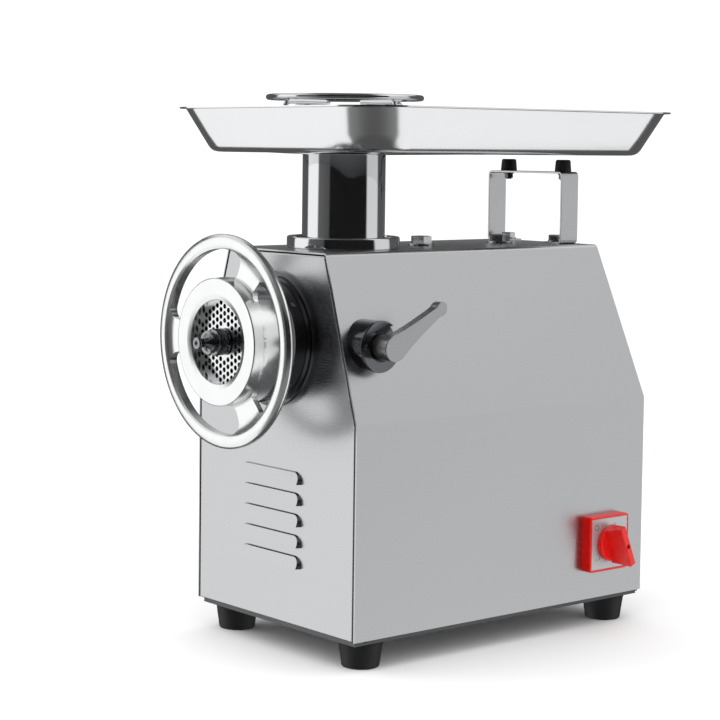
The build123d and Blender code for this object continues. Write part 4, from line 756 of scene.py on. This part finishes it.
class GRINDER_OT_lever(bpy.types.Operator):
    """Clamp lever: a round hub that flows into a tapered arm with a wider tip"""
    bl_idname = "grinder.lever"
    bl_label = "Clamp lever"

    def execute(self, context):
        sizes = context.scene.grinder_lever
        low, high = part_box("clamp_lever")
        pivot = centre_of("clamp_screw")
        hub = sizes.hub_radius / MM
        reach = sizes.reach / MM
        upper = [(-hub, 0), (-hub * 0.72, hub * 0.70), (0.5, hub), (9.5, 10.8), (20, 9.0), (35, 7.2),
                 (50, 5.9)]
        upper += [(59, 5.2), (reach - 5.4, 5.3), (reach - 3.4, 6.0), (reach + 0.5, 6.3), (reach + 4.9, 4.2)]
        outline = upper + [(reach + 6.4, 0)] + [(u, -v) for u, v in reversed(upper[1:])]
        curve = bpy.data.curves.new("lever outline", "CURVE")
        curve.dimensions = "2D"
        curve.fill_mode = "BOTH"
        curve.resolution_u = 5
        curve.bevel_depth = 0.7 * MM
        curve.bevel_resolution = 2
        curve.extrude = sizes.thickness / 2 - curve.bevel_depth
        curve.offset = -curve.bevel_depth
        line = curve.splines.new("BEZIER")
        line.bezier_points.add(len(outline) - 1)
        line.use_cyclic_u = True
        for point, (u, v) in zip(line.bezier_points, outline):
            point.co = (u * MM, v * MM, 0)
            point.handle_left_type = "AUTO"
            point.handle_right_type = "AUTO"
        flat = bpy.data.objects.new("lever outline", curve)
        bpy.context.collection.objects.link(flat)
        bpy.context.view_layer.update()
        mesh = bpy.data.meshes.new_from_object(flat.evaluated_get(context.evaluated_depsgraph_get()))
        bpy.data.objects.remove(flat)
        bm = bmesh.new()
        bm.from_mesh(mesh)
        bpy.data.meshes.remove(mesh)
        bmesh.ops.remove_doubles(bm, verts=bm.verts, dist=0.01 * MM)
        # The outline lies in X and Y; the arm needs its length along Y and its width along Z.
        stand = Matrix(((0, 0, 1), (1, 0, 0), (0, 1, 0)))
        bmesh.ops.rotate(bm, verts=bm.verts, cent=(0, 0, 0), matrix=stand)
        bmesh.ops.rotate(bm, verts=bm.verts, cent=(0, 0, 0), matrix=Matrix.Rotation(sizes.angle, 3, "X"))
        arm_middle = high[0] - sizes.thickness / 2
        bmesh.ops.translate(bm, verts=bm.verts, vec=(arm_middle, pivot.y, pivot.z))
        arm_back = (high[0] - sizes.thickness) / MM
        start = low[0] / MM
        core = [(0, start), (hub - 0.6, start), (hub, start + 0.6), (hub, arm_back + 1.0),
                (0, arm_back + 1.0)]
        spin_profile(bm, in_mm(core), (0, pivot.y, pivot.z), 0, 64, closed=False)
        arm = make_piece("lever_arm", bm, "lever_casting", "clamp_lever", ["clamp_lever"], sharp=40.0)
        even_shading(arm)
        return {"FINISHED"}


# ---------------------------------------------------------------- switch
class GRINDER_OT_switch_marks(bpy.types.Operator):
    """Printed marks on the switch label: a ring and short strokes at the three knob stops"""
    bl_idname = "grinder.switch_marks"
    bl_label = "Switch label marks"

    def stroke(self, bm, x, y, z, wide, tall):
        made = bmesh.ops.create_cube(bm, size=1.0)
        bmesh.ops.scale(bm, vec=(0.12 * MM, wide, tall), verts=made["verts"])
        bmesh.ops.translate(bm, vec=(x, y, z), verts=made["verts"])

    def execute(self, context):
        low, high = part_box("switch_label")
        centre = centre_of("switch_label")
        face = high[0]
        half_y = (high[1] - low[1]) / 2
        half_z = (high[2] - low[2]) / 2
        bm = bmesh.new()
        ring_at = (0, centre.y - half_y * 0.74, centre.z + half_z * 0.68)
        ring = [(2.3, face / MM - 0.05), (3.1, face / MM - 0.05), (3.1, face / MM + 0.06),
                (2.3, face / MM + 0.06)]
        spin_profile(bm, in_mm(ring), ring_at, 0, 32)
        self.stroke(bm, face, centre.y - half_y * 0.42, centre.z + half_z * 0.72, 0.9 * MM, 2.4 * MM)
        self.stroke(bm, face, centre.y + half_y * 0.30, centre.z + half_z * 0.72, 0.9 * MM, 3.4 * MM)
        self.stroke(bm, face, centre.y - half_y * 0.72, centre.z - half_z * 0.60, 1.6 * MM, 1.2 * MM)
        self.stroke(bm, face, centre.y - half_y * 0.56, centre.z - half_z * 0.56, 0.9 * MM, 3.0 * MM)
        self.stroke(bm, face, centre.y + half_y * 0.14, centre.z + half_z * 0.52, 1.2 * MM, 1.2 * MM)
        make_piece("label_marks", bm, "label_ink", "cabinet", [])
        return {"FINISHED"}


# ---------------------------------------------------------------- carried-over nodes
class GRINDER_OT_carried_nodes(bpy.types.Operator):
    """Gives every CAD node that stays visible or inside its procedural finish"""
    bl_idname = "grinder.carried_nodes"
    bl_label = "Finishes of the carried-over nodes"

    def execute(self, context):
        for name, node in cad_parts.items():
            for slot in node.material_slots:
                key = slot.material.name.split(".")[0]
                if key not in FINISHES:
                    raise RuntimeError(f"{name} has no finish for its slot {key}")
                slot.material = finish_material(key)
        return {"FINISHED"}


# ---------------------------------------------------------------- stage
class StageSettings(bpy.types.PropertyGroup):
    """Camera and light of the studio."""
    azimuth: bpy.props.FloatProperty(
        name="Camera azimuth", description="From the front towards the lever side", default=radians(51.16),
        subtype="ANGLE")
    elevation: bpy.props.FloatProperty(
        name="Camera elevation", description="Above the horizon", default=radians(4.0), subtype="ANGLE")
    roll: bpy.props.FloatProperty(
        name="Camera roll", description="Turn about the line of sight", default=radians(0.59),
        subtype="ANGLE")
    distance: bpy.props.FloatProperty(
        name="Camera distance", description="From the camera to the point that it looks at", default=2.1086,
        unit="LENGTH")
    lens: bpy.props.FloatProperty(
        name="Lens", description="Focal length on a 36 mm sensor", default=100.9)
    target: bpy.props.FloatVectorProperty(
        name="Target", description="Point that the camera looks at", size=3,
        default=(-0.11787, -0.08124, 0.3445), subtype="XYZ")
    shift: bpy.props.FloatVectorProperty(
        name="Lens shift", description="Shift of the frame, in frame widths", size=2,
        default=(0.0927, -0.1033))
    floor_colour: bpy.props.FloatVectorProperty(
        name="Floor colour", description="Base colour of the floor", subtype="COLOR", size=3,
        default=linear("F6F6F6"))
    room_light: bpy.props.FloatProperty(
        name="Room light", description="Brightness of the white room", default=1.12, min=0.0)


# What a polished surface sees round the studio: degrees from the front towards the lever side,
# and brightness. Two tall soft boxes stand left of the front and behind the lever side.
HORIZON = [(-180, 0.12), (-69, 0.12), (-65, 1.30), (-28, 1.30), (-24, 0.16), (8, 0.10), (12, 0.01),
           (115, 0.01),
           (119, 0.90), (156, 0.90), (160, 0.12), (180, 0.12)]
# The same for what lies below: the table top shines only where the soft boxes light it.
TABLE_TOP = [(-180, 0.11), (-77, 0.11), (-73, 1.20), (-31, 1.20), (-27, 0.24), (114, 0.24), (119, 1.15),
             (155, 1.15),
             (159, 0.11), (180, 0.11)]
# The same for the ceiling, which is lit behind the machine and dark over the camera.
CEILING = [(-180, 0.90), (-35, 0.90), (-5, 0.30), (25, 0.12), (100, 0.12), (118, 1.25), (150, 1.25),
           (180, 0.90)]
NEAR_FOOT = 0.10
ZENITH = 0.09


class GRINDER_OT_stage(bpy.types.Operator):
    """Pale floor, soft light and the camera"""
    bl_idname = "grinder.stage"
    bl_label = "Stage"

    def band(self, tree, turn, stops):
        """Brightness round the horizon, from a list of (degrees, brightness)."""
        ramp = add(tree, "ShaderNodeValToRGB", {}, {"Fac": turn})
        points = ramp.color_ramp.elements
        while len(points) > 1:
            points.remove(points[-1])
        for index, (angle, value) in enumerate(stops):
            place = (angle + 180) / 360
            if index == 0:
                points[0].position = place
                point = points[0]
            else:
                point = points.new(place)
            point.color = (value, value, value, 1)
        return ramp.outputs["Color"]

    def make_world(self, context, settings):
        world = bpy.data.worlds.new("studio")
        context.scene.world = world
        world.use_nodes = True
        tree = world.node_tree
        tree.nodes.clear()
        place = add(tree, "ShaderNodeTexCoord")
        split = add(tree, "ShaderNodeSeparateXYZ", {}, {"Vector": place.outputs["Generated"]})
        back = add(tree, "ShaderNodeMath", {"operation": "MULTIPLY", 1: -1.0}, {0: split.outputs["Y"]})
        turn = add(tree, "ShaderNodeMath", {"operation": "ARCTAN2"},
                   {0: split.outputs["X"], 1: back.outputs["Value"]})
        part = add(tree, "ShaderNodeMapRange",
                   {"From Min": -pi, "From Max": pi, "To Min": 0.0, "To Max": 1.0},
                   {"Value": turn.outputs["Value"]})
        around = self.band(tree, part.outputs["Result"], HORIZON)
        below = self.band(tree, part.outputs["Result"], TABLE_TOP)
        sink = add(tree, "ShaderNodeMapRange",
                   {"From Min": -0.22, "From Max": -0.40, "To Min": 0.0, "To Max": 1.0},
                   {"Value": split.outputs["Z"]})
        rise = add(tree, "ShaderNodeMapRange",
                   {"From Min": 0.38, "From Max": 0.50, "To Min": 0.0, "To Max": 1.0},
                   {"Value": split.outputs["Z"]})
        foot = add(tree, "ShaderNodeMapRange",
                   {"From Min": -0.82, "From Max": -0.90, "To Min": 0.0, "To Max": 1.0},
                   {"Value": split.outputs["Z"]})
        peak = add(tree, "ShaderNodeMapRange",
                   {"From Min": 0.82, "From Max": 0.92, "To Min": 0.0, "To Max": 1.0},
                   {"Value": split.outputs["Z"]})
        above = self.band(tree, part.outputs["Result"], CEILING)
        whole = add(tree, "ShaderNodeMix", {"data_type": "RGBA"},
                    {0: sink.outputs["Result"], 6: around, 7: below})
        whole = add(tree, "ShaderNodeMix", {"data_type": "RGBA"},
                    {0: rise.outputs["Result"], 6: whole.outputs[2], 7: above})
        for share, value in ((foot, NEAR_FOOT), (peak, ZENITH)):
            whole = add(tree, "ShaderNodeMix", {"data_type": "RGBA", 7: (value, value, value, 1)},
                        {0: share.outputs["Result"], 6: whole.outputs[2]})
        seen = add(tree, "ShaderNodeBackground", {"Strength": 1.0}, {"Color": whole.outputs[2]})
        room = add(tree, "ShaderNodeBackground", {"Color": (1, 1, 1, 1), "Strength": settings.room_light})
        rays = add(tree, "ShaderNodeLightPath")
        mix = add(tree, "ShaderNodeMixShader", {},
                  {0: rays.outputs["Is Glossy Ray"], 1: room.outputs["Background"],
                   2: seen.outputs["Background"]})
        add(tree, "ShaderNodeOutputWorld", {}, {"Surface": mix.outputs["Shader"]})

    def make_floor(self, settings):
        bm = bmesh.new()
        bmesh.ops.create_circle(bm, cap_ends=True, segments=96, radius=6.0)
        mesh = bpy.data.meshes.new("floor")
        bm.to_mesh(mesh)
        bm.free()
        floor = bpy.data.objects.new("floor", mesh)
        bpy.context.collection.objects.link(floor)
        material = bpy.data.materials.new("Floor, matt white board")
        material.use_nodes = True
        tree = material.node_tree
        tree.nodes.clear()
        place = add(tree, "ShaderNodeTexCoord")
        speckle = add(tree, "ShaderNodeTexNoise", {"Scale": 60.0}, {"Vector": place.outputs["Object"]})
        level = add(tree, "ShaderNodeMapRange", {"To Min": 0.92, "To Max": 0.96},
                    {"Value": speckle.outputs["Fac"]})
        shader = add(tree, "ShaderNodeBsdfPrincipled",
                     {"Base Color": (*settings.floor_colour, 1), "Specular IOR Level": 0.0},
                     {"Roughness": level.outputs["Result"]})
        add(tree, "ShaderNodeOutputMaterial", {}, {"Surface": shader.outputs["BSDF"]})
        mesh.materials.append(material)
        floor.visible_glossy = False

    def soft_box(self, name, place, aim, size, power):
        light = bpy.data.lights.new(name, "AREA")
        light.shape = "RECTANGLE"
        light.size, light.size_y = size
        light.energy = power
        lamp = bpy.data.objects.new(name, light)
        lamp.location = place
        lamp.rotation_euler = (Vector(aim) - Vector(place)).to_track_quat("-Z", "Y").to_euler()
        lamp.visible_glossy = False
        lamp.visible_camera = False
        bpy.context.collection.objects.link(lamp)

    def execute(self, context):
        settings = context.scene.grinder_stage
        context.scene.view_settings.view_transform = "Standard"
        self.make_world(context, settings)
        self.make_floor(settings)
        self.soft_box("top soft box", (0.2, -0.3, 2.2), (0, 0, 0.2), (2.4, 2.4), 22)
        self.soft_box("front soft box", (-1.5, -1.8, 1.2), (0, 0, 0.3), (1.2, 1.6), 10)
        a, e, r = settings.azimuth, settings.elevation, settings.roll
        back = Vector((sin(a) * cos(e), -cos(a) * cos(e), sin(e)))
        side = Vector((cos(a), sin(a), 0))
        up = back.cross(side)
        right = side * cos(r) + up * sin(r)
        above = up * cos(r) - side * sin(r)
        camera_data = bpy.data.cameras.new("camera")
        camera_data.sensor_width = 36
        camera_data.lens = settings.lens
        camera_data.shift_x, camera_data.shift_y = settings.shift
        camera_data.clip_start, camera_data.clip_end = 0.05, 50
        camera = bpy.data.objects.new("camera", camera_data)
        spot = Vector(settings.target) + back * settings.distance
        camera.matrix_world = Matrix((right, above, back)).transposed().to_4x4()
        camera.location = spot
        bpy.context.collection.objects.link(camera)
        context.scene.camera = camera
        return {"FINISHED"}


# ---------------------------------------------------------------- add-on
OPERATORS = (GRINDER_OT_carried_nodes, GRINDER_OT_wheel, GRINDER_OT_stud, GRINDER_OT_feed_tube,
             GRINDER_OT_tray,
             GRINDER_OT_guard, GRINDER_OT_top_bolts, GRINDER_OT_bracket, GRINDER_OT_feet, GRINDER_OT_lever,
             GRINDER_OT_switch_marks, GRINDER_OT_stage)


class GRINDER_PT_pieces(bpy.types.Panel):
    """Lists the pieces of the grinder"""
    bl_idname = "GRINDER_PT_pieces"
    bl_label = "Meat grinder"
    bl_space_type = "VIEW_3D"
    bl_region_type = "UI"
    bl_category = "Grinder"

    def draw(self, context):
        column = self.layout.column(align=True)
        for operator in OPERATORS:
            column.operator(operator.bl_idname)
        for group in ("grinder_wheel", "grinder_feed", "grinder_hardware", "grinder_lever", "grinder_stage"):
            box = self.layout.box()
            settings = getattr(context.scene, group)
            for name in settings.__annotations__:
                box.prop(settings, name)


GROUPS = {"grinder_colours": GrinderColours, "grinder_wheel": WheelSizes, "grinder_feed": FeedSizes,
          "grinder_hardware": HardwareSizes, "grinder_lever": LeverSizes, "grinder_stage": StageSettings}


def register():
    for group in GROUPS.values():
        bpy.utils.register_class(group)
    for cls in (*OPERATORS, GRINDER_PT_pieces):
        bpy.utils.register_class(cls)
    for name, group in GROUPS.items():
        setattr(bpy.types.Scene, name, bpy.props.PointerProperty(type=group))


def unregister():
    for name in GROUPS:
        delattr(bpy.types.Scene, name)
    for cls in reversed((*GROUPS.values(), *OPERATORS, GRINDER_PT_pieces)):
        bpy.utils.unregister_class(cls)


def main():
    register()
    for operator in OPERATORS:
        group, action = operator.bl_idname.split(".")
        getattr(getattr(bpy.ops, group), action)()


if __name__ == "__main__":
    main()
